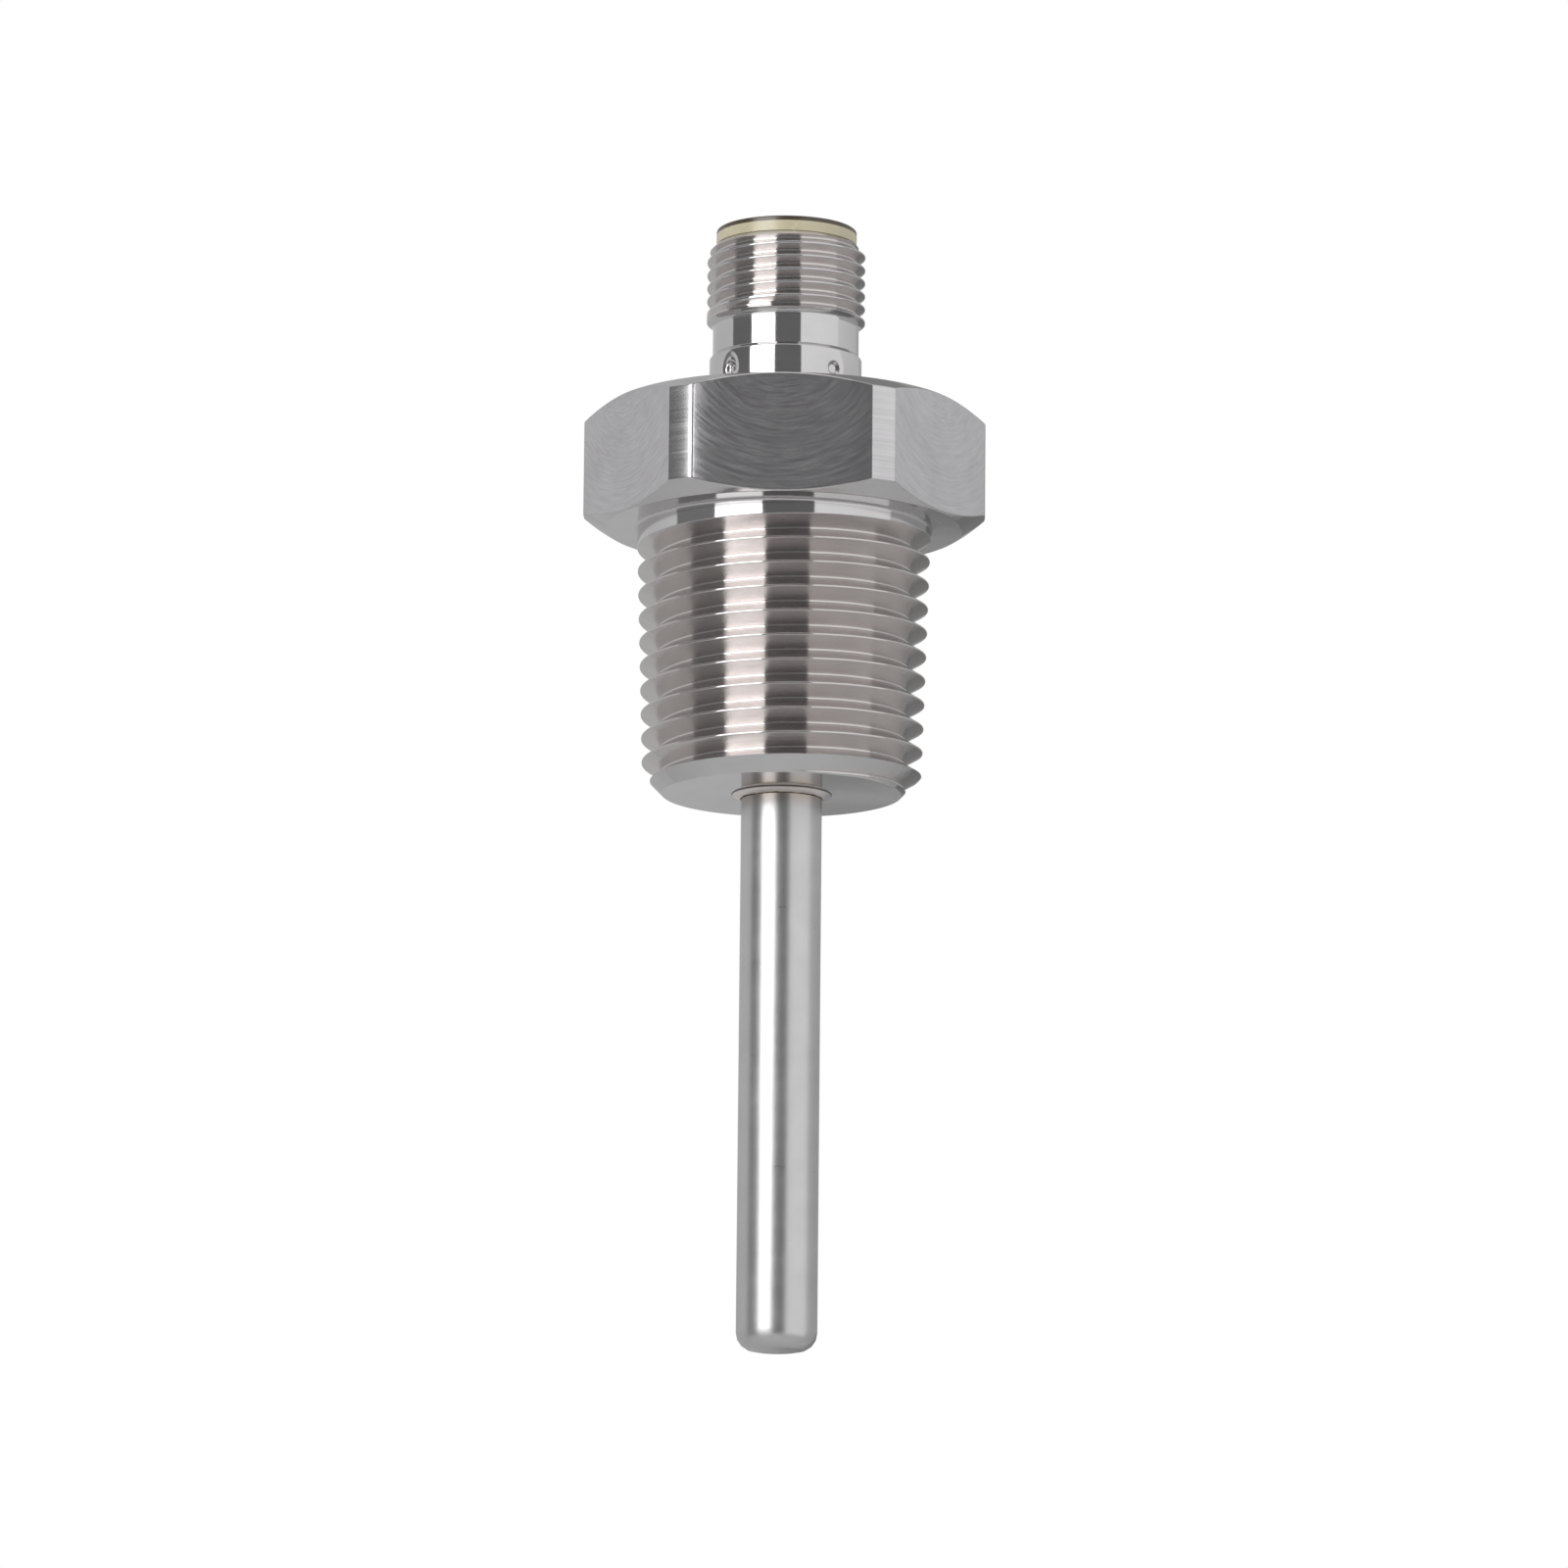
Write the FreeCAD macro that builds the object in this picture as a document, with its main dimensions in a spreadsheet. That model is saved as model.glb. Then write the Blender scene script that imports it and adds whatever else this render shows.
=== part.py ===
import FreeCAD, Part
import math
import os
import Sketcher

# Screw-in resistance temperature sensor, millimetres.
# The origin is on the axis in the plane under the hexagon, +Z points to the connector, -Z to the probe tip.
# A hexagon flat faces -Y and two hexagon corners lie on the X axis.

SIZES = {
    # hexagon
    "hex_flats": 27.0,
    "hex_height": 9.0,
    "hex_corner_radius": 15.0,
    "hex_face_radius": 13.3,
    "hex_chamfer_angle": 30.0,
    # both threads
    "flank_angle": 30.0,
    "overcut": 0.05,
    "runout_steepness": 1.1,
    # tapered pipe thread, 14 turns to the inch on a taper of 1 in 16
    "pipe_length": 20.1,
    "pipe_end_radius": 10.35,
    "pipe_end_face_radius": 8.93,
    "pipe_taper_angle": 1.79,
    "pipe_pitch": 1.814,
    "pipe_crest_flat": 0.12,
    "pipe_root_flat": 0.10,
    "pipe_runout_height": 1.49,
    "collar_fillet": 0.2,
    # connector thread
    "fine_pitch": 1.0,
    "fine_crest_flat": 0.12,
    "fine_root_flat": 0.16,
    "fine_start_height": 16.18,
    "fine_start_bearing": 270.0,
    # bores of the fitting
    "cavity_radius": 3.9,
    "cavity_floor": 13.2,
    "web_radius": 2.45,
    "sheath_stop": 14.0,
    # spigot that carries the connector shell
    "spigot_radius": 5.05,
    "spigot_top": 12.9,
    "seal_groove_radius": 4.4,
    "seal_groove_low": 9.3,
    "seal_groove_high": 10.2,
    "seal_chamfer": 0.12,
    "seal_gap": 0.05,
    "stake_groove_radius": 4.75,
    # connector shell
    "shell_bore": 4.7,
    "skirt_bore": 5.08,
    "skirt_radius": 5.69,
    "skirt_top": 13.16,
    "shell_neck_radius": 5.46,
    "shell_thread_low": 15.2,
    "shell_thread_radius": 5.925,
    "shell_top": 21.7,
    "shell_mouth_radius": 5.3,
    "stake_height": 11.45,
    "stake_radius": 0.65,
    "stake_floor": 5.34,
    "stake_bump_radius": 0.5,
    "stake_bump_floor": 4.85,
    "stake_angle": 41.2,
    # contact carrier
    "carrier_radius": 4.68,
    "carrier_boss_radius": 3.85,
    "carrier_low": 10.2,
    "socket_radius": 4.2,
    "socket_floor": 14.2,
    "rim_radius": 5.26,
    "rim_top": 22.9,
    "rim_chamfer": 0.15,
    "key_width": 1.0,
    "key_depth": 0.6,
    "key_top": 20.9,
    # contact pins
    "pin_circle_radius": 2.8,
    "pin_radius": 0.5,
    "pin_hole_radius": 0.51,
    "pin_tip": 21.9,
    "pin_tip_chamfer": 0.25,
    "pin_collar_radius": 0.7,
    "pin_collar_height": 0.4,
    "pin_tail": 8.6,
    # probe
    "sheath_radius": 3.0,
    "sheath_seat_radius": 2.8,
    "sheath_bore": 2.5,
    "sheath_tip": 61.7,
    "sheath_floor": 0.8,
    "sheath_tip_fillet": 1.15,
    "socket_gap": 0.02,
    "bead_radius": 3.8,
    "bead_height": 0.4,
    "bead_waist_radius": 3.48,
    "bead_waist_height": 0.22,
    # leads and sensing element
    "lead_radius": 0.35,
    "lead_core_radius": 0.15,
    "lead_offset": 0.85,
    "lead_bend_top": 6.5,
    "lead_bend_low": 0.5,
    "lead_bend_radius": 4.0,
    "insulator_radius": 2.35,
    "insulator_bore": 0.42,
    "insulator_top": 12.0,
    "insulator_low": 54.5,
    "splice_top": 55.5,
    "splice_height": 0.4,
    "splice_width": 0.4,
    "splice_length": 2.2,
    "element_top": 57.6,
    "element_width": 2.1,
    "element_depth": 0.7,
    "element_height": 2.4,
    "element_leg_radius": 0.12,
    "filler_radius": 2.49,
    "potting_radius": 3.88,
    "potting_top": -0.5,
}

RUNOUT_TURNS = 0.25
FLANK_SLOPE = "tan(sizes.flank_angle * 1 deg)"
PIN_COUNT = 4
STAKE_COUNT = 4
HEX_SIDES = 6

doc = FreeCAD.newDocument("temperature_sensor")


def make_sheet():
    """Put every driving dimension in one sheet cell with an alias."""
    table = doc.addObject("Spreadsheet::Sheet", "sizes")
    for row, (alias, number) in enumerate(SIZES.items(), start=1):
        table.set(f"A{row}", alias)
        table.set(f"B{row}", str(number))
        table.setAlias(f"B{row}", alias)
    doc.recompute()
    return table


sheet = make_sheet()


def size(expression):
    """Value of an expression over the sheet's aliases."""
    return float(sheet.evalExpression(expression))


def bind(target, **expressions):
    """Bind properties of an object to expressions over the sheet."""
    for name, expression in expressions.items():
        target.setExpression(name, expression)
    return target


def new_body(name):
    body = doc.addObject("PartDesign::Body", name)
    body.Label = name
    return body


def origin_plane(body, role):
    return next(item for item in body.Origin.OriginFeatures if item.Role == role)


def new_sketch(body, name, role):
    sketch = body.newObject("Sketcher::SketchObject", name)
    sketch.AttachmentSupport = (origin_plane(body, role), [""])
    sketch.MapMode = "FlatFace"
    return sketch


def pin_down(sketch, geometry, point, along, across):
    """Hold one sketch point at two expressions; zero puts it on the axis itself."""
    for kind, expression, axis in (("DistanceX", along, -2), ("DistanceY", across, -1)):
        if expression == "0":
            sketch.addConstraint(Sketcher.Constraint("PointOnObject", geometry, point, axis))
            continue
        held = sketch.addConstraint(Sketcher.Constraint(kind, geometry, point, size(expression)))
        name = f"{kind}_{geometry}"
        sketch.renameConstraint(held, name)
        sketch.setExpression(f"Constraints.{name}", expression)


def polygon(body, name, role, points):
    """Closed outline through points given as pairs of expressions."""
    sketch = new_sketch(body, name, role)
    corners = [FreeCAD.Vector(size(along), size(across), 0) for along, across in points]
    count = len(corners)
    for index in range(count):
        sketch.addGeometry(Part.LineSegment(corners[index], corners[(index + 1) % count]), False)
    for index in range(count):
        sketch.addConstraint(Sketcher.Constraint("Coincident", index, 2, (index + 1) % count, 1))
    for index, (along, across) in enumerate(points):
        pin_down(sketch, index, 1, along, across)
    return sketch


def circles(body, name, role, rounds):
    """Circles given as expressions for centre and radius."""
    sketch = new_sketch(body, name, role)
    for index, (along, across, radius) in enumerate(rounds):
        centre = FreeCAD.Vector(size(along), size(across), 0)
        sketch.addGeometry(Part.Circle(centre, FreeCAD.Vector(0, 0, 1), size(radius)), False)
        pin_down(sketch, index, 3, along, across)
        held = sketch.addConstraint(Sketcher.Constraint("Radius", index, size(radius)))
        sketch.renameConstraint(held, f"Radius_{index}")
        sketch.setExpression(f"Constraints.Radius_{index}", radius)
    return sketch


def turned(body, name, points, kind="PartDesign::Revolution"):
    """Full turn of a radius and height outline about the Z axis."""
    sketch = polygon(body, f"{name}_outline", "XZ_Plane", points)
    feature = body.newObject(kind, name)
    feature.Profile = (sketch, [""])
    feature.ReferenceAxis = (sketch, ["V_Axis"])
    feature.Angle = 360.0
    doc.recompute()
    return feature


def pad(body, name, sketch, length, base=None, kind="PartDesign::Pad", **settings):
    """Straight extrusion of a sketch; base shifts the sketch along its own normal."""
    if base is not None:
        sketch.setExpression("AttachmentOffset.Base.z", base)
    feature = body.newObject(kind, name)
    feature.Profile = (sketch, [""])
    bind(feature, Length=length)
    for key, value in settings.items():
        setattr(feature, key, value)
    doc.recompute()
    return feature


def ring_of(body, name, feature, count):
    """Equal copies of a feature round the Z axis."""
    pattern = body.newObject("PartDesign::PolarPattern", name)
    pattern.Originals = [feature]
    pattern.Axis = (origin_plane(body, "Z_Axis"), [""])
    pattern.Angle = 360.0
    pattern.Occurrences = count
    body.Tip = pattern
    doc.recompute()
    return pattern


def primitive(kind, name, place=("0", "0", "0"), **expressions):
    """Part primitive with its sizes and its place bound to expressions."""
    item = doc.addObject(kind, name)
    item.Label = name
    bind(item, **expressions)
    for axis, expression in zip("xyz", place):
        item.setExpression(f"Placement.Base.{axis}", expression)
    return item


def cut_from(name, base, tools):
    """Base solid with each of the tools taken out of it."""
    for index, tool in enumerate(tools):
        result = doc.addObject("Part::Cut", f"{name}_cut_{index}")
        result.Base = base
        result.Tool = tool
        base = result
    base.Label = name
    doc.recompute()
    return base


def fused(name, pieces):
    result = doc.addObject("Part::MultiFuse", name)
    result.Label = name
    result.Shapes = pieces
    doc.recompute()
    return result


def pipe_crest(height):
    """Crest radius of the tapered thread at a height, as an expression."""
    return (f"(sizes.pipe_end_radius + ({height} + sizes.pipe_length)"
            f" * tan(sizes.pipe_taper_angle * 1 deg))")


def hexagon(body):
    """Hexagon bar end, its corners turned round and both its ends chamfered."""
    reach = "sizes.hex_flats / sqrt(3)"
    corners = [(f"{reach} * cos({60 * side} deg)", f"{reach} * sin({60 * side} deg)") for side in range(HEX_SIDES)]
    corners = [(along, "0" if side % 3 == 0 else across) for side, (along, across) in enumerate(corners)]
    sketch = polygon(body, "hexagon_outline", "XY_Plane", corners)
    pad(body, "hexagon", sketch, "sizes.hex_height")
    drop = "(sizes.hex_corner_radius - sizes.hex_face_radius) * tan(sizes.hex_chamfer_angle * 1 deg)"
    turned(body, "corner_turning", [
        ("sizes.hex_face_radius", "0"),
        ("sizes.hex_corner_radius", drop),
        ("sizes.hex_corner_radius", f"sizes.hex_height - {drop}"),
        ("sizes.hex_face_radius", "sizes.hex_height"),
        ("sizes.hex_flats", "sizes.hex_height"),
        ("sizes.hex_flats", "0"),
    ], kind="PartDesign::Groove")


def stem(body):
    """Thread blank below the hexagon and grooved spigot above it, one turned core."""
    face = "-sizes.pipe_length"
    chamfer = f"{face} + sizes.pipe_end_radius - sizes.pipe_end_face_radius"
    top = "sizes.hex_height"
    stake_low = "sizes.stake_height - sizes.stake_radius"
    stake_high = "sizes.stake_height + sizes.stake_radius"
    turned(body, "core", [
        ("0", face),
        ("sizes.pipe_end_face_radius", face),
        (pipe_crest(chamfer), chamfer),
        (pipe_crest("-sizes.collar_fillet"), "-sizes.collar_fillet"),
        (f"{pipe_crest('0')} + sizes.collar_fillet", "0"),
        (f"{pipe_crest('0')} + sizes.collar_fillet", top),
        ("sizes.spigot_radius", top),
        ("sizes.spigot_radius", "sizes.seal_groove_low"),
        ("sizes.seal_groove_radius", "sizes.seal_groove_low"),
        ("sizes.seal_groove_radius", "sizes.seal_groove_high"),
        ("sizes.spigot_radius", "sizes.seal_groove_high"),
        ("sizes.spigot_radius", stake_low),
        ("sizes.stake_groove_radius", stake_low),
        ("sizes.stake_groove_radius", stake_high),
        ("sizes.spigot_radius", stake_high),
        ("sizes.spigot_radius", "sizes.spigot_top"),
        ("0", "sizes.spigot_top"),
    ])


def bores(body):
    """Cavity from the top, a web that stops the sheath, and the sheath socket from below."""
    socket = "sizes.sheath_seat_radius + sizes.socket_gap"
    turned(body, "bores", [
        ("0", "sizes.spigot_top"),
        ("sizes.cavity_radius", "sizes.spigot_top"),
        ("sizes.cavity_radius", "-sizes.cavity_floor"),
        ("sizes.web_radius", "-sizes.cavity_floor"),
        ("sizes.web_radius", "-sizes.sheath_stop"),
        (socket, "-sizes.sheath_stop"),
        (socket, "-sizes.pipe_length"),
        ("0", "-sizes.pipe_length"),
    ], kind="PartDesign::Groove")


def groove_depth(thread):
    """Depth that a thread's pitch and flats leave between its flanks, as an expression."""
    return f"((sizes.{thread}_pitch - sizes.{thread}_crest_flat - sizes.{thread}_root_flat) / 2 / {FLANK_SLOPE})"


def groove_section(body, name, thread, crest, height):
    """Section of a thread groove round a height of its middle, drawn on a little past the crest radius."""
    depth = groove_depth(thread)
    root = f"{crest} - {depth}"
    mouth = f"{crest} + sizes.overcut"
    half_root = f"sizes.{thread}_root_flat / 2"
    half_mouth = f"({half_root} + ({depth} + sizes.overcut) * {FLANK_SLOPE})"
    return polygon(body, name, "XZ_Plane", [
        (root, f"{height} + {half_root}"),
        (root, f"{height} - {half_root}"),
        (mouth, f"{height} - {half_mouth}"),
        (mouth, f"{height} + {half_mouth}"),
    ])


def thread_cut(body, name, thread, crest, height, turns, angle, bearing="0", downwards=False):
    """Right-hand groove wound from a height and a bearing, its radius growing by the cone angle."""
    blank = body.Shape.Volume
    sketch = groove_section(body, f"{name}_section", thread, crest, height)
    sketch.AttachmentOffset = FreeCAD.Placement(
        FreeCAD.Vector(), FreeCAD.Rotation(FreeCAD.Vector(0, 1, 0), size(bearing)))
    cut = body.newObject("PartDesign::SubtractiveHelix", name)
    cut.Profile = (sketch, [""])
    cut.ReferenceAxis = (sketch, ["V_Axis"])
    cut.Mode = "pitch-turns-angle"
    cut.LeftHanded = False
    cut.Reversed = downwards
    cut.Turns = turns
    bind(cut, Pitch=f"sizes.{thread}_pitch", Angle=f"{angle} * 1 deg")
    doc.recompute()
    full_groove = math.pi * turns * size(f"{crest} * sizes.{thread}_pitch * {groove_depth(thread)}")
    if turns >= 1 and blank - cut.Shape.Volume < full_groove / 2:
        raise RuntimeError(f"the groove of {name} was not cut")


def runout_angle(thread):
    """Cone angle in degrees at which a groove runs out within its last part of a turn."""
    rise = f"(sizes.{thread}_pitch * {RUNOUT_TURNS})"
    return f"(atan({groove_depth(thread)} * sizes.runout_steepness / {rise}) / 1 deg)"


def pipe_thread(body):
    """Tapered thread from below the end face, its groove drawn out over the last quarter turn."""
    turns = math.floor(size("sizes.pipe_length / sizes.pipe_pitch"))
    last = "(-sizes.pipe_runout_height)"
    first = f"(-sizes.pipe_runout_height - {turns} * sizes.pipe_pitch)"
    thread_cut(body, "pipe_thread", "pipe", pipe_crest(first), first, turns, "sizes.pipe_taper_angle")
    thread_cut(body, "pipe_runout", "pipe", pipe_crest(last), last, RUNOUT_TURNS, runout_angle("pipe"))


def fine_thread(body):
    """Connector thread from its start up past the mouth, and its groove drawn out over a quarter turn below."""
    crest = "sizes.shell_thread_radius"
    start = "sizes.fine_start_height"
    bearing = "sizes.fine_start_bearing - sizes.stake_angle"
    turns = math.ceil(size(f"(sizes.shell_top - {start}) / sizes.fine_pitch")) + 1
    thread_cut(body, "fine_thread", "fine", crest, start, turns, "0", bearing)
    thread_cut(body, "fine_runout", "fine", crest, start, RUNOUT_TURNS, runout_angle("fine"), bearing, downwards=True)


def process_fitting():
    body = new_body("process_fitting")
    hexagon(body)
    stem(body)
    bores(body)
    pipe_thread(body)
    return body


def connector_shell():
    """Sleeve with the fine connector thread, its skirt staked in four places."""
    body = new_body("connector_shell")
    skirt_chamfer = "(sizes.skirt_radius - sizes.shell_neck_radius)"
    thread_chamfer = "(sizes.shell_thread_radius - sizes.shell_neck_radius)"
    mouth_chamfer = "(sizes.shell_thread_radius - sizes.shell_mouth_radius)"
    turned(body, "sleeve", [
        ("sizes.skirt_bore", "sizes.hex_height"),
        ("sizes.skirt_radius", "sizes.hex_height"),
        ("sizes.skirt_radius", f"sizes.skirt_top - {skirt_chamfer}"),
        ("sizes.shell_neck_radius", "sizes.skirt_top"),
        ("sizes.shell_neck_radius", "sizes.shell_thread_low"),
        ("sizes.shell_thread_radius", f"sizes.shell_thread_low + {thread_chamfer}"),
        ("sizes.shell_thread_radius", f"sizes.shell_top - {mouth_chamfer}"),
        ("sizes.shell_mouth_radius", "sizes.shell_top"),
        ("sizes.shell_bore", "sizes.shell_top"),
        ("sizes.shell_bore", "sizes.spigot_top"),
        ("sizes.skirt_bore", "sizes.spigot_top"),
    ])
    bump = circles(body, "stake_bump_outline", "XZ_Plane", [("0", "sizes.stake_height", "sizes.stake_bump_radius")])
    raised = pad(body, "stake_bump", bump, "sizes.stake_floor - sizes.stake_bump_floor - sizes.socket_gap",
                 base="sizes.stake_bump_floor")
    ring_of(body, "stake_bumps", raised, STAKE_COUNT)
    dimple = circles(body, "stake_outline", "XZ_Plane", [("0", "sizes.stake_height", "sizes.stake_radius")])
    dent = pad(body, "stake", dimple, "sizes.skirt_radius - sizes.stake_floor", base="sizes.stake_floor",
               kind="PartDesign::Pocket", Reversed=True)
    ring_of(body, "stakes", dent, STAKE_COUNT)
    fine_thread(body)
    body.setExpression("Placement.Rotation.Angle", "sizes.stake_angle * 1 deg")
    return body


def contact_carrier():
    """Plastic insert: boss in the spigot, lining of the shell, rim on top and a keyed socket for the mating plug."""
    body = new_body("contact_carrier")
    turned(body, "carrier", [
        ("0", "sizes.carrier_low"),
        ("sizes.carrier_boss_radius", "sizes.carrier_low"),
        ("sizes.carrier_boss_radius", "sizes.spigot_top"),
        ("sizes.carrier_radius", "sizes.spigot_top"),
        ("sizes.carrier_radius", "sizes.shell_top"),
        ("sizes.rim_radius", "sizes.shell_top"),
        ("sizes.rim_radius", "sizes.rim_top - sizes.rim_chamfer"),
        ("sizes.rim_radius - sizes.rim_chamfer", "sizes.rim_top"),
        ("sizes.socket_radius + sizes.rim_chamfer", "sizes.rim_top"),
        ("sizes.socket_radius", "sizes.rim_top - sizes.rim_chamfer"),
        ("sizes.socket_radius", "sizes.socket_floor"),
        ("0", "sizes.socket_floor"),
    ])
    inner = "sizes.socket_radius - sizes.key_depth"
    outer = "(sizes.socket_radius + sizes.carrier_radius) / 2"
    key = polygon(body, "key_outline", "XY_Plane", [
        (inner, "-sizes.key_width / 2"),
        (outer, "-sizes.key_width / 2"),
        (outer, "sizes.key_width / 2"),
        (inner, "sizes.key_width / 2"),
    ])
    pad(body, "key", key, "sizes.key_top - sizes.socket_floor", base="sizes.socket_floor")
    place = "sizes.pin_circle_radius * cos(45 deg)"
    hole = circles(body, "pin_hole_outline", "XY_Plane", [(place, place, "sizes.pin_hole_radius")])
    bored = pad(body, "pin_hole", hole, "sizes.socket_floor - sizes.carrier_low", base="sizes.carrier_low",
                kind="PartDesign::Pocket", Reversed=True)
    ring_of(body, "pin_holes", bored, PIN_COUNT)
    body.Placement.Rotation = FreeCAD.Rotation(FreeCAD.Vector(0, 0, 1), 45)
    return body


def contact_pin(index):
    """Round contact with a rounded tip, a collar under the carrier and a solder tail."""
    body = new_body(f"contact_pin_{index + 1}")
    collar = "sizes.carrier_low - sizes.pin_collar_height"
    turned(body, f"pin_{index + 1}", [
        ("0", "sizes.pin_tail"),
        ("sizes.pin_radius", "sizes.pin_tail"),
        ("sizes.pin_radius", collar),
        ("sizes.pin_collar_radius", collar),
        ("sizes.pin_collar_radius", "sizes.carrier_low"),
        ("sizes.pin_radius", "sizes.carrier_low"),
        ("sizes.pin_radius", "sizes.pin_tip - sizes.pin_tip_chamfer * 2"),
        ("sizes.pin_radius - sizes.pin_tip_chamfer", "sizes.pin_tip"),
        ("0", "sizes.pin_tip"),
    ])
    body.setExpression("Placement.Base.x", f"sizes.pin_circle_radius * cos({90 * index} deg)")
    body.setExpression("Placement.Base.y", f"sizes.pin_circle_radius * sin({90 * index} deg)")
    return body


def shell_seal():
    """Square-cut seal ring with broken edges, squeezed between the spigot's groove and the skirt."""
    body = new_body("shell_seal")
    inner, outer = "sizes.seal_groove_radius", "sizes.skirt_bore"
    low, high = "sizes.seal_groove_low + sizes.seal_gap", "sizes.seal_groove_high - sizes.seal_gap"
    turned(body, "seal", [
        (f"{inner} + sizes.seal_chamfer", low),
        (f"{outer} - sizes.seal_chamfer", low),
        (outer, f"{low} + sizes.seal_chamfer"),
        (outer, f"{high} - sizes.seal_chamfer"),
        (f"{outer} - sizes.seal_chamfer", high),
        (f"{inner} + sizes.seal_chamfer", high),
        (inner, f"{high} - sizes.seal_chamfer"),
        (inner, f"{low} + sizes.seal_chamfer"),
    ])
    return body


def probe_sheath():
    """Drawn tube with a closed, rounded end, ground down a little where it seats in the fitting."""
    body = new_body("probe_sheath")
    floor = "sizes.sheath_floor - sizes.sheath_tip"
    seat = "-sizes.pipe_length - sizes.bead_height"
    shape = turned(body, "tube", [
        ("0", "-sizes.sheath_tip"),
        ("sizes.sheath_radius", "-sizes.sheath_tip"),
        ("sizes.sheath_radius", seat),
        ("sizes.sheath_seat_radius", seat),
        ("sizes.sheath_seat_radius", "-sizes.sheath_stop"),
        ("sizes.sheath_bore", "-sizes.sheath_stop"),
        ("sizes.sheath_bore", floor),
        ("0", floor),
    ])
    tip = -size("sizes.sheath_tip")
    rim = size("sizes.sheath_radius")
    edges = [
        f"Edge{number}" for number, edge in enumerate(shape.Shape.Edges, start=1)
        if isinstance(edge.Curve, Part.Circle)
        and abs(edge.CenterOfMass.z - tip) < 1e-6
        and abs(edge.Curve.Radius - rim) < 1e-6
    ]
    rounded = body.newObject("PartDesign::Fillet", "tip_round")
    rounded.Base = (shape, edges)
    bind(rounded, Radius="sizes.sheath_tip_fillet")
    doc.recompute()
    return body


def weld_bead():
    """Hollow-faced ring weld in the corner between end face and sheath."""
    body = new_body("weld_bead")
    face = "-sizes.pipe_length"
    turned(body, "bead", [
        ("sizes.sheath_seat_radius", face),
        ("sizes.bead_radius", face),
        ("sizes.bead_waist_radius", f"{face} - sizes.bead_waist_height"),
        ("sizes.sheath_radius", f"{face} - sizes.bead_height"),
        ("sizes.sheath_seat_radius", f"{face} - sizes.bead_height"),
    ])
    return body


def rounded_path(points, radius):
    """Wire through points in space, its corners rounded by tangent arcs."""
    edges = []
    last = points[0]
    for before, corner, after in zip(points, points[1:], points[2:]):
        towards = (before - corner).normalize()
        onwards = (after - corner).normalize()
        turn = math.pi - towards.getAngle(onwards)
        reach = radius * math.tan(turn / 2)
        begin = corner + towards * reach
        finish = corner + onwards * reach
        inward = (towards + onwards).normalize()
        middle = corner + inward * (radius / math.cos(turn / 2) - radius)
        edges.append(Part.LineSegment(last, begin).toShape())
        edges.append(Part.Arc(begin, middle, finish).toShape())
        last = finish
    edges.append(Part.LineSegment(last, points[-1]).toShape())
    return Part.Wire(edges)


def lead_wire(index):
    """Insulated lead from a pin's tail to its bore in the insulator, its end stripped bare for the weld."""
    around = math.radians(90 * index)
    offset = size("sizes.lead_offset") * math.sqrt(2)
    circle = size("sizes.pin_circle_radius")
    inner = around + math.radians(45)
    pin = (circle * math.cos(around), circle * math.sin(around))
    bore = (offset * math.cos(inner), offset * math.sin(inner))
    points = [
        FreeCAD.Vector(*pin, size("sizes.pin_tail")),
        FreeCAD.Vector(*pin, size("sizes.lead_bend_top")),
        FreeCAD.Vector(*bore, size("sizes.lead_bend_low")),
        FreeCAD.Vector(*bore, -size("sizes.insulator_low")),
    ]
    path = rounded_path(points, size("sizes.lead_bend_radius"))
    start = Part.Circle(points[0], FreeCAD.Vector(0, 0, 1), size("sizes.lead_radius"))
    covered = path.makePipeShell([Part.Wire(start.toShape())], True, False)
    core = Part.makeCylinder(
        size("sizes.lead_core_radius"),
        size("sizes.splice_top - sizes.insulator_low"),
        points[-1],
        FreeCAD.Vector(0, 0, -1),
    )
    wire = doc.addObject("Part::Feature", f"lead_wire_{index + 1}")
    wire.Label = f"lead_wire_{index + 1}"
    wire.Shape = covered.fuse(core).removeSplitter()
    wire.Placement = FreeCAD.Placement()
    return wire


def lead_insulator():
    """Ceramic rod with four bores that keeps the leads apart."""
    body = new_body("lead_insulator")
    rounds = [("0", "0", "sizes.insulator_radius")]
    for across in ("sizes.lead_offset", "-sizes.lead_offset"):
        for along in ("sizes.lead_offset", "-sizes.lead_offset"):
            rounds.append((along, across, "sizes.insulator_bore"))
    sketch = circles(body, "insulator_section", "XY_Plane", rounds)
    pad(body, "insulator", sketch, "sizes.insulator_low - sizes.insulator_top", base="-sizes.insulator_low")
    return body


def splice_tab(index):
    """Weld tab that joins two leads to one leg of the element."""
    side = (1, -1)[index]
    return primitive(
        "Part::Box", f"splice_tab_{index + 1}",
        place=(
            f"{side} * sizes.lead_offset - sizes.splice_width / 2",
            "-sizes.splice_length / 2",
            "-sizes.splice_top - sizes.splice_height",
        ),
        Length="sizes.splice_width",
        Width="sizes.splice_length",
        Height="sizes.splice_height",
    )


def platinum_element():
    """Thin film resistor chip with its two legs."""
    chip = primitive(
        "Part::Box", "chip",
        place=("-sizes.element_width / 2", "-sizes.element_depth / 2", "-sizes.element_top - sizes.element_height"),
        Length="sizes.element_width",
        Width="sizes.element_depth",
        Height="sizes.element_height",
    )
    legs = [
        primitive(
            "Part::Cylinder", f"leg_{number}",
            place=(f"{side} * sizes.lead_offset", "0", "-sizes.element_top"),
            Radius="sizes.element_leg_radius",
            Height="sizes.element_top - sizes.splice_top - sizes.splice_height",
        )
        for number, side in enumerate((1, -1), start=1)
    ]
    return fused("platinum_element", [chip, *legs])


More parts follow.
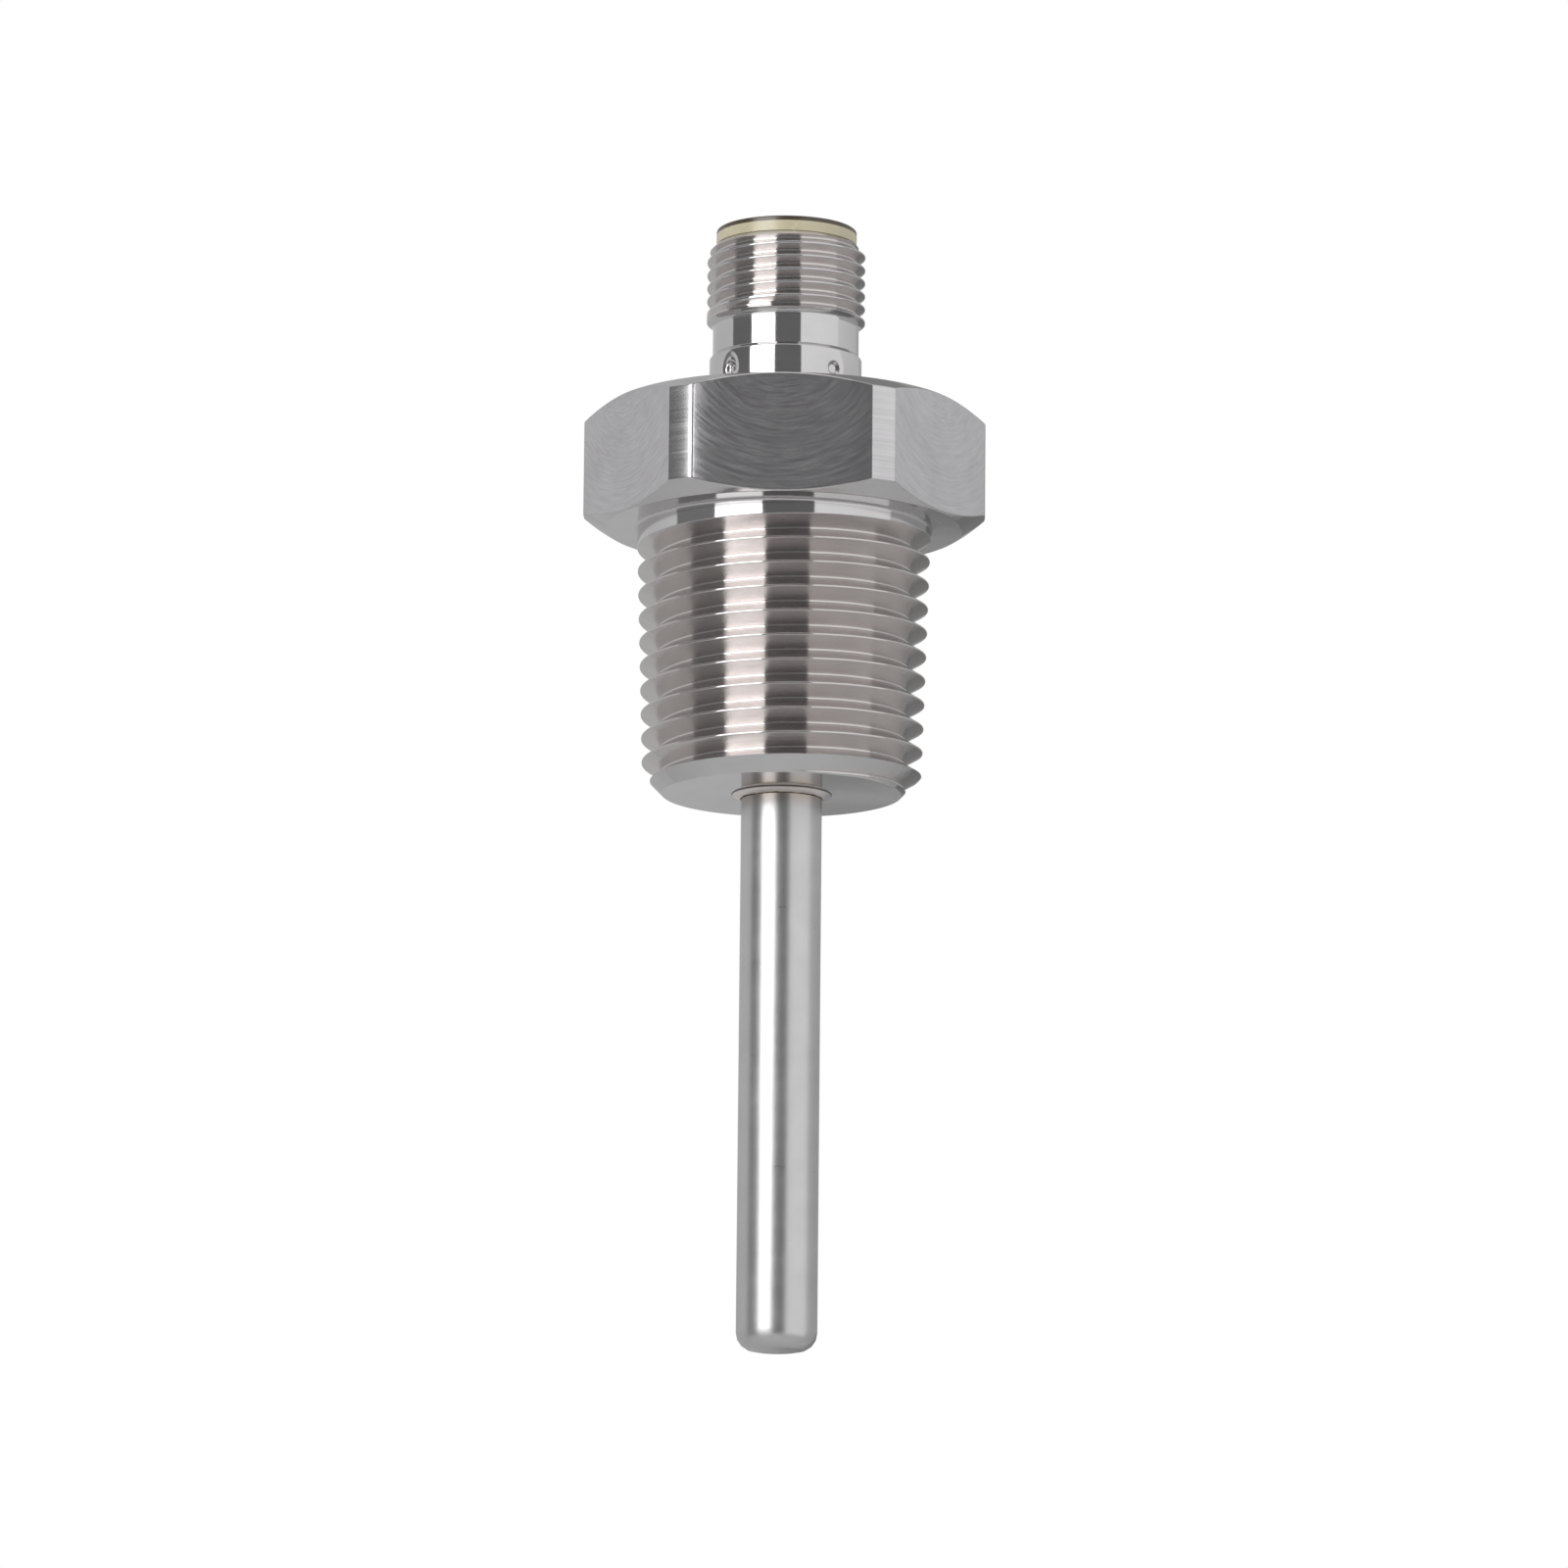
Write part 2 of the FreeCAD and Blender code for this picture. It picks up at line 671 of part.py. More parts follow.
def thermal_filler(inside):
    """Heat-conducting fill in the tip, round everything that ends there."""
    low = "(sizes.sheath_tip - sizes.sheath_floor)"
    plug = primitive(
        "Part::Cylinder", "filler_plug",
        place=("0", "0", f"-{low}"),
        Radius="sizes.filler_radius",
        Height=f"{low} - sizes.insulator_low",
    )
    return cut_from("thermal_filler", plug, inside)


def potting_compound(inside):
    """Fill round the leads in the cavity of the fitting."""
    plug = primitive(
        "Part::Cylinder", "potting_plug",
        place=("0", "0", "-sizes.cavity_floor"),
        Radius="sizes.potting_radius",
        Height="sizes.potting_top + sizes.cavity_floor",
    )
    return cut_from("potting_compound", plug, inside)


def build():
    leads = [lead_wire(index) for index in range(PIN_COUNT)]
    tabs = [splice_tab(index) for index in range(2)]
    element = platinum_element()
    insulator = lead_insulator()
    return [
        process_fitting(),
        connector_shell(),
        contact_carrier(),
        *[contact_pin(index) for index in range(PIN_COUNT)],
        shell_seal(),
        *leads,
        insulator,
        *tabs,
        element,
        thermal_filler([element, *tabs, *leads]),
        potting_compound([insulator, *leads]),
        probe_sheath(),
        weld_bead(),
    ]


def write(pieces):
    """Check every object, then write one file for each piece."""
    doc.recompute()
    failed = [item.Name for item in doc.Objects if {"Invalid", "Error"} & set(item.State)]
    failed += [piece.Label for piece in pieces if piece.Shape.isNull() or not piece.Shape.isValid()]
    if failed:
        raise RuntimeError(f"not built: {failed}")
    os.makedirs("parts", exist_ok=True)
    for piece in pieces:
        piece.Shape.exportStep(f"parts/{piece.Label}.step")
        print(f"{piece.Label}: {piece.Shape.Volume:.2f} mm3, {len(piece.Shape.Solids)} solid")


write(build())
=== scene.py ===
import math

import bmesh
import bpy
from mathutils import Matrix, Vector

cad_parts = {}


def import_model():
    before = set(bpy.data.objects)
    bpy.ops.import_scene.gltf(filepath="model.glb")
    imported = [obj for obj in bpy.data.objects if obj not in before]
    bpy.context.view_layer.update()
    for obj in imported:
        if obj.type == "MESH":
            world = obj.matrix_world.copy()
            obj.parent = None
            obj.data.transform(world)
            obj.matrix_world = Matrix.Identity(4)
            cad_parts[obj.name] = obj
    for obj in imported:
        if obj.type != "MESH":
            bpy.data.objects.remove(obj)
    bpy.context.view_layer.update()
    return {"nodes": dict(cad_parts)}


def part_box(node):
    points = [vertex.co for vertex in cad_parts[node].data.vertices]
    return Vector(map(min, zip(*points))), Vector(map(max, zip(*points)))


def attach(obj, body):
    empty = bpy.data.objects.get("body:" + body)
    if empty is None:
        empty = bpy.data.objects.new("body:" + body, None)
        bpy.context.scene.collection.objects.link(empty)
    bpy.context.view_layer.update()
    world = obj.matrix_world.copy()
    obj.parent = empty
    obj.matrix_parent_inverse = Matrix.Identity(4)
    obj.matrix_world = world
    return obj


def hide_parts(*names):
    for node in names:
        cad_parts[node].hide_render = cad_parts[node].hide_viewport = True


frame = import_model()

# Lengths are in millimetres on the frame's own axes: Z along the sensor, zero under the hexagon.
MM = 0.001
FULL_TURN = 2 * math.pi
SIXTH_TURN = FULL_TURN / 6
SHARP_ANGLE = math.radians(28)
SPARE_TURNS = 3

# Tolerances, in metres
NEAR = 1e-7
SEAM = 2e-6
TOUCH = 1e-5


def span(node):
    """Lowest and highest corner of a CAD node, in millimetres."""
    low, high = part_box(node)
    return low / MM, high / MM


fitting_low, fitting_high = span("process_fitting")
shell_low, shell_high = span("connector_shell")
carrier_low, carrier_high = span("contact_carrier")
sheath_low, sheath_high = span("probe_sheath")
bead_low, bead_high = span("weld_bead")

# Hexagon
HEX_UNDERSIZE = 0.06
HEX_HALF = fitting_high.y - HEX_UNDERSIZE
HEX_TOP = shell_low.z
HEX_CORNER = 15.0
HEX_FACE = 13.3
HEX_CHAMFER = math.tan(math.radians(30))
HEX_STEPS = 360
HEX_EDGE_BREAK = 0.07
HEX_RIM_ANGLE = math.radians(15)
UPRIGHT_TILT = 0.02
FACET_COLUMNS = 4
CUTTER_HEIGHT = 12.0
FLAT_HALF = 6.5
EASED_SIDE = 2.4
EASED_DEPTH = 0.08

# Tapered pipe thread
END_FACE = fitting_low.z
PIPE_PITCH = 1.814
PIPE_CREST_FLAT = 0.12
PIPE_ROOT_FLAT = 0.15
PIPE_ROUNDING = 0.04
PIPE_DEPTH = (PIPE_PITCH - PIPE_CREST_FLAT - PIPE_ROOT_FLAT) / 2 / math.tan(math.radians(30))
PIPE_END_RADIUS = 10.35
PIPE_TAPER = math.tan(math.radians(1.79))
PIPE_LAST_GROOVE = -1.49
PIPE_RUNOUT_TURNS = 0.25
PIPE_STEPS = 192
END_FACE_RADIUS = 8.93
COLLAR_FILLET = 0.2
COLLAR_LOW = -2.0
FILLET_STEPS = 4
CREST_SKIN = 0.02

# Bores and spigot of the fitting; a groove has a floor radius, a lower and an upper edge
SPIGOT_RADIUS = 5.05
SPIGOT_ROUNDING = 0.1
SEAL_GROOVE = (4.4, 9.3, 10.2)
STAKE_GROOVE = (4.75, 10.8, 12.1)
CAVITY_RADIUS = 3.9
CAVITY_FLOOR = -13.2
WEB_RADIUS = 2.45
SHEATH_STOP = sheath_high.z
SOCKET_RADIUS = 2.82
SOCKET_BREAK = 0.05

# Order of the fitting's finishes
FITTING_TURNED, FITTING_MILLED, FITTING_THREAD, FITTING_CORNER = range(4)

# Connector shell
SHELL_THREAD = shell_high.x
SHELL_PITCH = 1.0
SHELL_CREST_FLAT = 0.12
SHELL_ROOT_FLAT = 0.16
SHELL_ROUNDING = 0.05
SHELL_DEPTH = (SHELL_PITCH - SHELL_CREST_FLAT - SHELL_ROOT_FLAT) / 2 / math.tan(math.radians(30))
SHELL_FIRST_GROOVE = 15.43
SHELL_RUNOUT_TURNS = 0.25
SHELL_STEPS = 360
NECK_RADIUS = 5.46
NECK_TOP = 15.27
NECK_FILLET = 0.47
NECK_FILLET_STEPS = 8
LAST_FLANK = math.radians(60)
THREAD_LOW = 15.825
CREST_EDGE_DROP = 0.025
SHELL_EDGE_ACROSS = 0.02
SHELL_EDGE_ALONG = 0.03
MOUTH_RADIUS = 5.3
SKIRT_RADIUS = 5.69
SKIRT_TOP = 13.16
SKIRT_SHOULDER = SKIRT_TOP - (SKIRT_RADIUS - NECK_RADIUS)
SKIRT_FOOT_ROUNDING = 0.05
SKIRT_BORE = 5.08
SHELL_BORE = 4.7
BORE_BREAK = 0.05
INNER_WALL = 0.4
SKIRT_STEPS = 720
STAKE_HEIGHT = 11.45
STAKE_BEARINGS = (41.2, 131.2, -138.8, -45.4)
STAKE_FLOOR_RADIUS = 0.3
STAKE_RADIUS = 0.62
STAKE_DEPTH = 0.28
STAKE_REACH = 1.4
STAKE_ROWS = 40

# Dish round each staking dent: its reach to the side, upwards and downwards, then its slope
STAKE_DISH = (0.9, 1.35, 0.9)
STAKE_DISH_SLOPE = 0.2

# Order of the shell's finishes
SHELL_TURNED, SHELL_FLANK = range(2)

# Contact carrier
CARRIER_STEPS = 192
SOCKET_FLOOR = 14.2
SOCKET_WALL = 4.2
CARRIER_RADIUS = 4.68
BOSS_RADIUS = 3.85
BOSS_ROUNDING = 0.1
RIM_EDGE = 0.34
RIM_GROOVE = 0.14
RIM_FOOT_ROUNDING = 0.03
RIM_ROUNDING = 0.13
MOUTH_ROUNDING = 0.15
FLOOR_ROUNDING = 0.12
KEY_DEPTH = 0.6
KEY_WIDTH = 1.0
KEY_TOP = 20.9
KEY_SUNK = 0.5
KEY_ROUNDING = 0.1
KEY_ANGLE = math.radians(45)

# Pins and their holes
PIN_COUNT = 4
PIN_STEPS = 48
PIN_RADIUS = 0.5
PIN_FOOT_ROUNDING = 0.08
PIN_COLLAR_RADIUS = 0.7
PIN_COLLAR_HEIGHT = 0.4
PIN_COLLAR_ROUNDING = 0.04
PIN_TAPER = 0.5
PIN_TAPER_ROUNDING = 0.12
PIN_TIP_SHARE = 0.62
PIN_DOME = 0.1
PIN_PLAY = 0.01
HOLE_OVERRUN = 1.0
COUNTERSINK_DEPTH = 0.2
COUNTERSINK_RISE = 0.1

# Probe
SHEATH_STEPS = 192
SHEATH_RADIUS = sheath_high.x
SHEATH_BORE = 2.5
SHEATH_FLOOR = 0.8
SHEATH_FLOOR_ROUNDING = 0.3
TIP_ROUNDING = 1.35
SEAT_RADIUS = 2.8
SHOULDER_ROUNDING = 0.02
STOP_ROUNDING = 0.05

# Ring weld: a corner has a radius, a distance from the weld's upper or lower end, and a rounding
BEAD_STEPS = 360
BEAD_UPPER = ((SEAT_RADIUS, 0, 0), (3.74, 0, 0), (3.7, 0.06, 0.02), (3.38, 0.26, 0.2))
BEAD_LOWER = ((3.08, 0.03, 0.04), (3.0, 0.06, 0), (SEAT_RADIUS, 0.04, 0))
BEAD_RIPPLE = 0.03

# Waves of the ripple: how many go round the weld, where they start and their share
RIPPLE_WAVES = ((7, 0.3, 0.4), (19, 1.7, 0.35), (31, 4.1, 0.25))
RIPPLE_SHIFT = 1.0

# Patterns of the finishes
NOISE_RANGE = (0.3, 0.7)
MILLED_RANGE = (0.33, 0.67)
MILLED_GLOSS = (0.9, 1.15)
PLAIN_GLOSS = (0.85, 1.15)
LINE_NOISE = {"Scale": 1.0, "Detail": 3.0, "Roughness": 0.6}
GRAIN_FINENESS = 30.0
MARK_SHARE = 0.7
FLAT_SHIFT = 7.3
FALL_POWER = 3.0
ACROSS_THE_LINES = 0.25
PLASTIC_IOR = 1.65

# Where a tint starts and where it is full: heights on probe and carrier rim, radii on the weld, whose dark
# edges are partly painted shade
HEAT_TINT = (bead_low.z - 1.1, bead_low.z)
RIM_TINT = (carrier_high.z - RIM_EDGE - 0.05, carrier_high.z - RIM_EDGE)
# Dark edges of the weld: painted shade in the crevices where it meets the end face and the probe, partly
# its own oxide line
BEAD_RIM_SHADE_AND_OXIDE = (3.66, 3.7)
BEAD_TOE_SHADE_AND_OXIDE = (3.1, 3.05)


# Modelling helpers

def front_angle(bearing):
    """Angle round the Z axis of a bearing in degrees, which is zero at the front and grows to the right."""
    return math.radians(bearing - 90)


def mesh_of(bm, name):
    """Mesh of a bmesh, which is freed."""
    mesh = bpy.data.meshes.new(name)
    bm.to_mesh(mesh)
    bm.free()
    return mesh


def stand(name, data):
    """New object in the scene."""
    made = bpy.data.objects.new(name, data)
    bpy.context.scene.collection.objects.link(made)
    return made


def discard(made):
    """Remove an object and its mesh."""
    mesh = made.data
    bpy.data.objects.remove(made)
    bpy.data.meshes.remove(mesh)


def outline(bm, points, closed=False):
    """Line through points given as radius, height and the setback that rounds the corner."""
    verts = [bm.verts.new((radius * MM, 0, height * MM)) for radius, height, _ in points]
    followers = verts[1:] + (verts[:1] if closed else [])
    for start, end in zip(verts, followers):
        bm.edges.new((start, end))
    for setback in sorted({point[2] for point in points if point[2]}):
        corners = [vert for vert, point in zip(verts, points) if point[2] == setback]
        bmesh.ops.bevel(bm, geom=corners, offset=setback * MM, offset_type="OFFSET",
                        affect="VERTICES", segments=4, profile=0.5, material=-1)


def spin(bm, steps, rise=0.0):
    """Wind all geometry once round the Z axis; rise lifts it by that much on the way."""
    bmesh.ops.spin(
        bm, geom=bm.verts[:] + bm.edges[:], cent=(0, 0, 0), axis=(0, 0, 1),
        dvec=(0, 0, rise * MM / steps), angle=FULL_TURN, steps=steps,
        use_merge=not rise, use_duplicate=False,
    )
    bmesh.ops.remove_doubles(bm, verts=bm.verts, dist=SEAM)


def lathe(points, steps, closed=False):
    """Full turn of an outline."""
    bm = bmesh.new()
    outline(bm, points, closed)
    spin(bm, steps)
    return bm


def absorb(bm, other):
    """Take the geometry of another bmesh into this one."""
    passing = mesh_of(other, "passing")
    bm.from_mesh(passing)
    bpy.data.meshes.remove(passing)


def polar(vert):
    """Radius, angle and height of a vertex."""
    angle = math.atan2(vert.co.y, vert.co.x) % FULL_TURN
    return vert.co.xy.length / MM, angle, vert.co.z / MM


def place(vert, radius, angle, height):
    vert.co = Vector((radius * math.cos(angle), radius * math.sin(angle), height)) * MM


def cut_flat(bm, height, drop_above):
    """Cut level at a height, drop one side and return the rim that is left."""
    made = bmesh.ops.bisect_plane(
        bm, geom=bm.verts[:] + bm.edges[:] + bm.faces[:], dist=NEAR,
        plane_co=(0, 0, height * MM), plane_no=(0, 0, 1),
        clear_outer=drop_above, clear_inner=not drop_above,
    )
    return [item for item in made["geom_cut"] if isinstance(item, bmesh.types.BMEdge)]


def grow(bm, rim, radius, height):
    """Carry an open rim on to a ring of the given radius and height and return the new rim."""
    made = bmesh.ops.extrude_edge_only(bm, edges=rim)["geom"]
    fresh = {item for item in made if isinstance(item, bmesh.types.BMVert)}
    for vert in fresh:
        place(vert, radius, polar(vert)[1], height)
    return [item for item in made if isinstance(item, bmesh.types.BMEdge) and fresh.issuperset(item.verts)]


def open_rim(bm, radius, height):
    """Boundary edges that lie on a ring."""
    def on_ring(vert):
        return abs(vert.co.xy.length - radius * MM) < TOUCH and abs(vert.co.z - height * MM) < TOUCH
    return [edge for edge in bm.edges if edge.is_boundary and all(on_ring(vert) for vert in edge.verts)]


def join(bm, first, second):
    """Close the gap between two open rings, each given by radius and height."""
    bmesh.ops.bridge_loops(bm, edges=open_rim(bm, *first) + open_rim(bm, *second))


def soften(bm, edges, width, segments=2):
    bmesh.ops.bevel(bm, geom=edges, offset=width * MM, offset_type="OFFSET", affect="EDGES",
                    segments=segments, profile=0.5, material=-1)


def turns_past(angle, height, groove, pitch):
    """Turns along a groove, counted from where its middle has a given height on the +X side."""
    part_turn = angle / FULL_TURN
    return round((height - groove) / pitch - part_turn) + part_turn


def thread_sheet(radius, depth, pitch, crest_flat, root_flat, rounding, groove, turns, steps):
    """Right-hand thread surface wound upwards from one groove, from crest to crest."""
    bm = bmesh.new()
    half = pitch / 2
    outline(bm, [
        (radius, groove + half, 0),
        (radius, groove + half - crest_flat / 2, rounding),
        (radius - depth, groove + root_flat / 2, rounding),
        (radius - depth, groove - root_flat / 2, rounding),
        (radius, groove - half + crest_flat / 2, rounding),
        (radius, groove - half, 0),
    ])
    spin(bm, steps, pitch)
    first = bm.verts[:] + bm.edges[:] + bm.faces[:]
    for turn in range(1, turns):
        copy = bmesh.ops.duplicate(bm, geom=first)["geom"]
        copied = [item for item in copy if isinstance(item, bmesh.types.BMVert)]
        bmesh.ops.translate(bm, verts=copied, vec=(0, 0, turn * pitch * MM))
    bmesh.ops.remove_doubles(bm, verts=bm.verts, dist=SEAM)
    return bm


def settle(bm):
    """Close seams, turn every face outwards and keep only true edges sharp."""
    bmesh.ops.remove_doubles(bm, verts=bm.verts, dist=SEAM)
    bmesh.ops.recalc_face_normals(bm, faces=bm.faces)
    for face in bm.faces:
        face.smooth = True
    for edge in bm.edges:
        edge.smooth = edge.calc_face_angle(0) < SHARP_ANGLE


def even_normals(mesh):
    """Weight normals by face area, so that narrow rounded edges don't tilt the broad faces beside them."""
    # The modifier passes over faces of less than about a square millimetre, so it sees the mesh enlarged.
    mesh.transform(Matrix.Scale(1 / MM, 4))
    holder = stand("holder", mesh)
    step = holder.modifiers.new(name="even_normals", type="WEIGHTED_NORMAL")
    step.keep_sharp = True
    bpy.context.view_layer.update()
    evened = bpy.data.meshes.new_from_object(holder.evaluated_get(bpy.context.evaluated_depsgraph_get()))
    discard(holder)
    evened.transform(Matrix.Scale(MM, 4))
    return evened


def piece(bm, name, slot, materials, *nodes):
    """Object from a bmesh that stands for CAD nodes."""
    settle(bm)
    mesh = even_normals(mesh_of(bm, "rough"))
    mesh.name = name
    for material in materials:
        mesh.materials.append(material)
    made = stand(name, mesh)
    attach(made, "root")
    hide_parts(*nodes)


def carve(target, tool, operation):
    """Boolean of two bmeshes, applied at once; the result comes back as a bmesh."""
    holders = []
    for bm, name in ((target, "carve_target"), (tool, "carve_tool")):
        bmesh.ops.recalc_face_normals(bm, faces=bm.faces)
        holders.append(stand(name, mesh_of(bm, name)))
    step = holders[0].modifiers.new(name="carve", type="BOOLEAN")
    step.operation = operation
    step.solver = "EXACT"
    step.object = holders[1]
    bpy.context.view_layer.update()
    shaped = holders[0].evaluated_get(bpy.context.evaluated_depsgraph_get())
    result = bmesh.new()
    result.from_mesh(shaped.to_mesh())
    shaped.to_mesh_clear()
    for holder in holders:
        discard(holder)
    return result


def chamfer_end(bm, radius, height, outward, steps):
    """Cut a 45 degree chamfer on an end; outward is 1 where the end faces up and -1 where it faces down."""
    reach = 4.0
    break_width = 0.03
    tool = lathe([
        (radius - 2 * break_width, height + outward * break_width, 0),
        (radius, height - outward * break_width / 2, 0),
        (radius + reach, height - outward * (reach + break_width / 2), 0),
        (radius + reach, height + outward * break_width, 0),
    ], steps, closed=True)
    return carve(bm, tool, "DIFFERENCE")


# Process fitting

def crest_radius(height):
    return PIPE_END_RADIUS + (height - END_FACE) * PIPE_TAPER


def collar_fillet(step):
    """Radius and height at a step of the fillet under the hexagon; the last step lies on the underside."""
    turn = math.pi / 2 * step / FILLET_STEPS
    reach = crest_radius(-COLLAR_FILLET) + COLLAR_FILLET * (1 - math.cos(turn))
    return reach, COLLAR_FILLET * (math.sin(turn) - 1)


def in_pipe_thread(radius, height):
    """Whether a place on the stem belongs to the thread, not to the collar or to the end's chamfer."""
    on_chamfer = abs(radius - END_FACE_RADIUS - (height - END_FACE)) < CREST_SKIN
    on_collar = height > COLLAR_LOW and radius > crest_radius(height) - CREST_SKIN
    return not on_chamfer and not on_collar


def pipe_stem():
    """Tapered thread with its groove drawn out at the top, a fillet above it and the end face below it."""
    below = math.ceil(-END_FACE / PIPE_PITCH)
    bm = thread_sheet(
        radius=PIPE_END_RADIUS, depth=PIPE_DEPTH, pitch=PIPE_PITCH,
        crest_flat=PIPE_CREST_FLAT, root_flat=PIPE_ROOT_FLAT, rounding=PIPE_ROUNDING,
        groove=PIPE_LAST_GROOVE - below * PIPE_PITCH, turns=below + SPARE_TURNS, steps=PIPE_STEPS,
    )
    for vert in bm.verts:
        radius, angle, height = polar(vert)
        past = max(0, turns_past(angle, height, PIPE_LAST_GROOVE, PIPE_PITCH))
        depth = PIPE_END_RADIUS - radius - past / PIPE_RUNOUT_TURNS * PIPE_DEPTH
        place(vert, crest_radius(height) - max(0, depth), angle, height)
    rim = cut_flat(bm, END_FACE, drop_above=False)
    grow(bm, rim, SOCKET_RADIUS + SOCKET_BREAK, END_FACE)
    rim = cut_flat(bm, -COLLAR_FILLET, drop_above=True)
    for step in range(1, FILLET_STEPS):
        rim = grow(bm, rim, *collar_fillet(step))
    return bm


def hex_reach(angle):
    """Angle of a column moved on to the edges of the corner facets, and the hexagon's radius there."""
    half_side = SIXTH_TURN / 2
    facet = half_side - math.acos(HEX_HALF / HEX_CORNER)
    drawn = FACET_COLUMNS * FULL_TURN / HEX_STEPS
    corner = round(angle / SIXTH_TURN) * SIXTH_TURN
    off = angle - corner
    if abs(off) <= drawn + NEAR:
        return corner + off * facet / drawn, HEX_CORNER
    moved = facet + (abs(off) - drawn) * (half_side - facet) / (half_side - drawn)
    return corner + math.copysign(moved, off), HEX_HALF / math.cos(half_side - moved)


def spigot_groove(floor_radius, low, high):
    """Outline of a square groove round the spigot."""
    return (
        (SPIGOT_RADIUS, low, 0),
        (floor_radius, low, 0),
        (floor_radius, high, 0),
        (SPIGOT_RADIUS, high, 0),
    )


def hexagon():
    """Hexagon with turned corners and chamfers, the spigot above it and the bores down to the end face."""
    # These heights only tell the two corner rings apart: the loop sets the true ones.
    lower_ring = HEX_TOP / 4
    upper_ring = HEX_TOP - lower_ring
    bm = lathe([
        (*collar_fillet(FILLET_STEPS), 0),
        (HEX_FACE, 0, 0),
        (HEX_CORNER, lower_ring, 0),
        (HEX_CORNER, upper_ring, 0),
        (HEX_FACE, HEX_TOP, 0),
        (SPIGOT_RADIUS, HEX_TOP, 0),
        *spigot_groove(*SEAL_GROOVE),
        *spigot_groove(*STAKE_GROOVE),
        (SPIGOT_RADIUS, fitting_high.z, SPIGOT_ROUNDING),
        (CAVITY_RADIUS, fitting_high.z, SPIGOT_ROUNDING),
        (CAVITY_RADIUS, CAVITY_FLOOR, 0),
        (WEB_RADIUS, CAVITY_FLOOR, 0),
        (WEB_RADIUS, SHEATH_STOP, 0),
        (SOCKET_RADIUS, SHEATH_STOP, 0),
        (SOCKET_RADIUS, END_FACE + SOCKET_BREAK, 0),
    ], HEX_STEPS)
    for vert in bm.verts:
        radius, angle, height = polar(vert)
        angle, reach = hex_reach(angle)
        if radius > HEX_CORNER - NEAR / MM:
            drop = (reach - HEX_FACE) * HEX_CHAMFER
            radius = reach
            height = drop if height < HEX_TOP / 2 else HEX_TOP - drop
        place(vert, radius, angle, height)
    return bm


def on_hexagon(spot):
    """Whether a place lies on the hexagon's outside."""
    return spot.xy.length > HEX_FACE * MM - TOUCH


def fitting_finish(face):
    """Which of the fitting's finishes a face has."""
    centre = face.calc_center_median()
    if on_hexagon(centre) and abs(face.normal.z) < UPRIGHT_TILT:
        _, reach = hex_reach(math.atan2(centre.y, centre.x) % FULL_TURN)
        return FITTING_MILLED if reach < HEX_CORNER else FITTING_CORNER
    radius = centre.xy.length
    on_stem = END_FACE * MM + SEAM < centre.z < -COLLAR_FILLET * MM and radius > END_FACE_RADIUS * MM
    if on_stem and in_pipe_thread(radius / MM, centre.z / MM):
        return FITTING_THREAD
    return FITTING_TURNED


def process_fitting(finishes):
    """Hexagon, pipe thread, spigot and bores in one piece."""
    bm = pipe_stem()
    absorb(bm, hexagon())
    bm.edges.ensure_lookup_table()
    join(bm, collar_fillet(FILLET_STEPS - 1), collar_fillet(FILLET_STEPS))
    join(bm, (SOCKET_RADIUS + SOCKET_BREAK, END_FACE), (SOCKET_RADIUS, END_FACE + SOCKET_BREAK))
    bmesh.ops.recalc_face_normals(bm, faces=bm.faces)
    bm = chamfer_end(bm, END_FACE_RADIUS, END_FACE, -1, PIPE_STEPS)
    rims = [
        edge for edge in bm.edges
        if all(on_hexagon(vert.co) for vert in edge.verts) and edge.calc_face_angle(0) > HEX_RIM_ANGLE
    ]
    soften(bm, rims, HEX_EDGE_BREAK)
    for face in bm.faces:
        face.material_index = fitting_finish(face)
    piece(bm, "process_fitting_finish", "turned_stainless", finishes, "process_fitting")


# Connector shell

def shell_thread():
    """Fine thread, drawn out at its lower end, with the mouth's face above it and the neck below it."""
    turns = math.ceil((shell_high.z - NECK_TOP) / SHELL_PITCH) + SPARE_TURNS
    bm = thread_sheet(
        radius=SHELL_THREAD, depth=SHELL_DEPTH, pitch=SHELL_PITCH,
        crest_flat=SHELL_CREST_FLAT, root_flat=SHELL_ROOT_FLAT, rounding=SHELL_ROUNDING,
        groove=SHELL_FIRST_GROOVE - SHELL_PITCH, turns=turns, steps=SHELL_STEPS,
    )
    front_quarter = 0.75
    for vert in bm.verts:
        radius, angle, height = polar(vert)
        short = max(0, front_quarter - turns_past(angle, height, SHELL_FIRST_GROOVE, SHELL_PITCH))
        depth = SHELL_THREAD - radius - short / SHELL_RUNOUT_TURNS * SHELL_DEPTH
        place(vert, SHELL_THREAD - max(0, depth), angle, height)
    rim = cut_flat(bm, shell_high.z, drop_above=True)
    grow(bm, rim, SHELL_BORE + BORE_BREAK, shell_high.z)
    rim = cut_flat(bm, THREAD_LOW, drop_above=False)
    rim = grow(bm, rim, SHELL_THREAD - SHELL_EDGE_ACROSS, THREAD_LOW - CREST_EDGE_DROP)
    for step in range(NECK_FILLET_STEPS, -1, -1):
        turn = LAST_FLANK * step / NECK_FILLET_STEPS
        hollow = NECK_RADIUS + NECK_FILLET * (1 - math.cos(turn))
        rim = grow(bm, rim, hollow, NECK_TOP + NECK_FILLET * math.sin(turn))
    rim = grow(bm, rim, NECK_RADIUS, SKIRT_TOP + SHELL_EDGE_ALONG)
    grow(bm, rim, NECK_RADIUS + SHELL_EDGE_ACROSS, SKIRT_TOP)
    return bm


def nearest_stake(angle):
    """Angle from the nearest staking dent."""
    half = FULL_TURN / 2
    away = [(angle - front_angle(bearing) + half) % FULL_TURN - half for bearing in STAKE_BEARINGS]
    return min(away, key=abs)


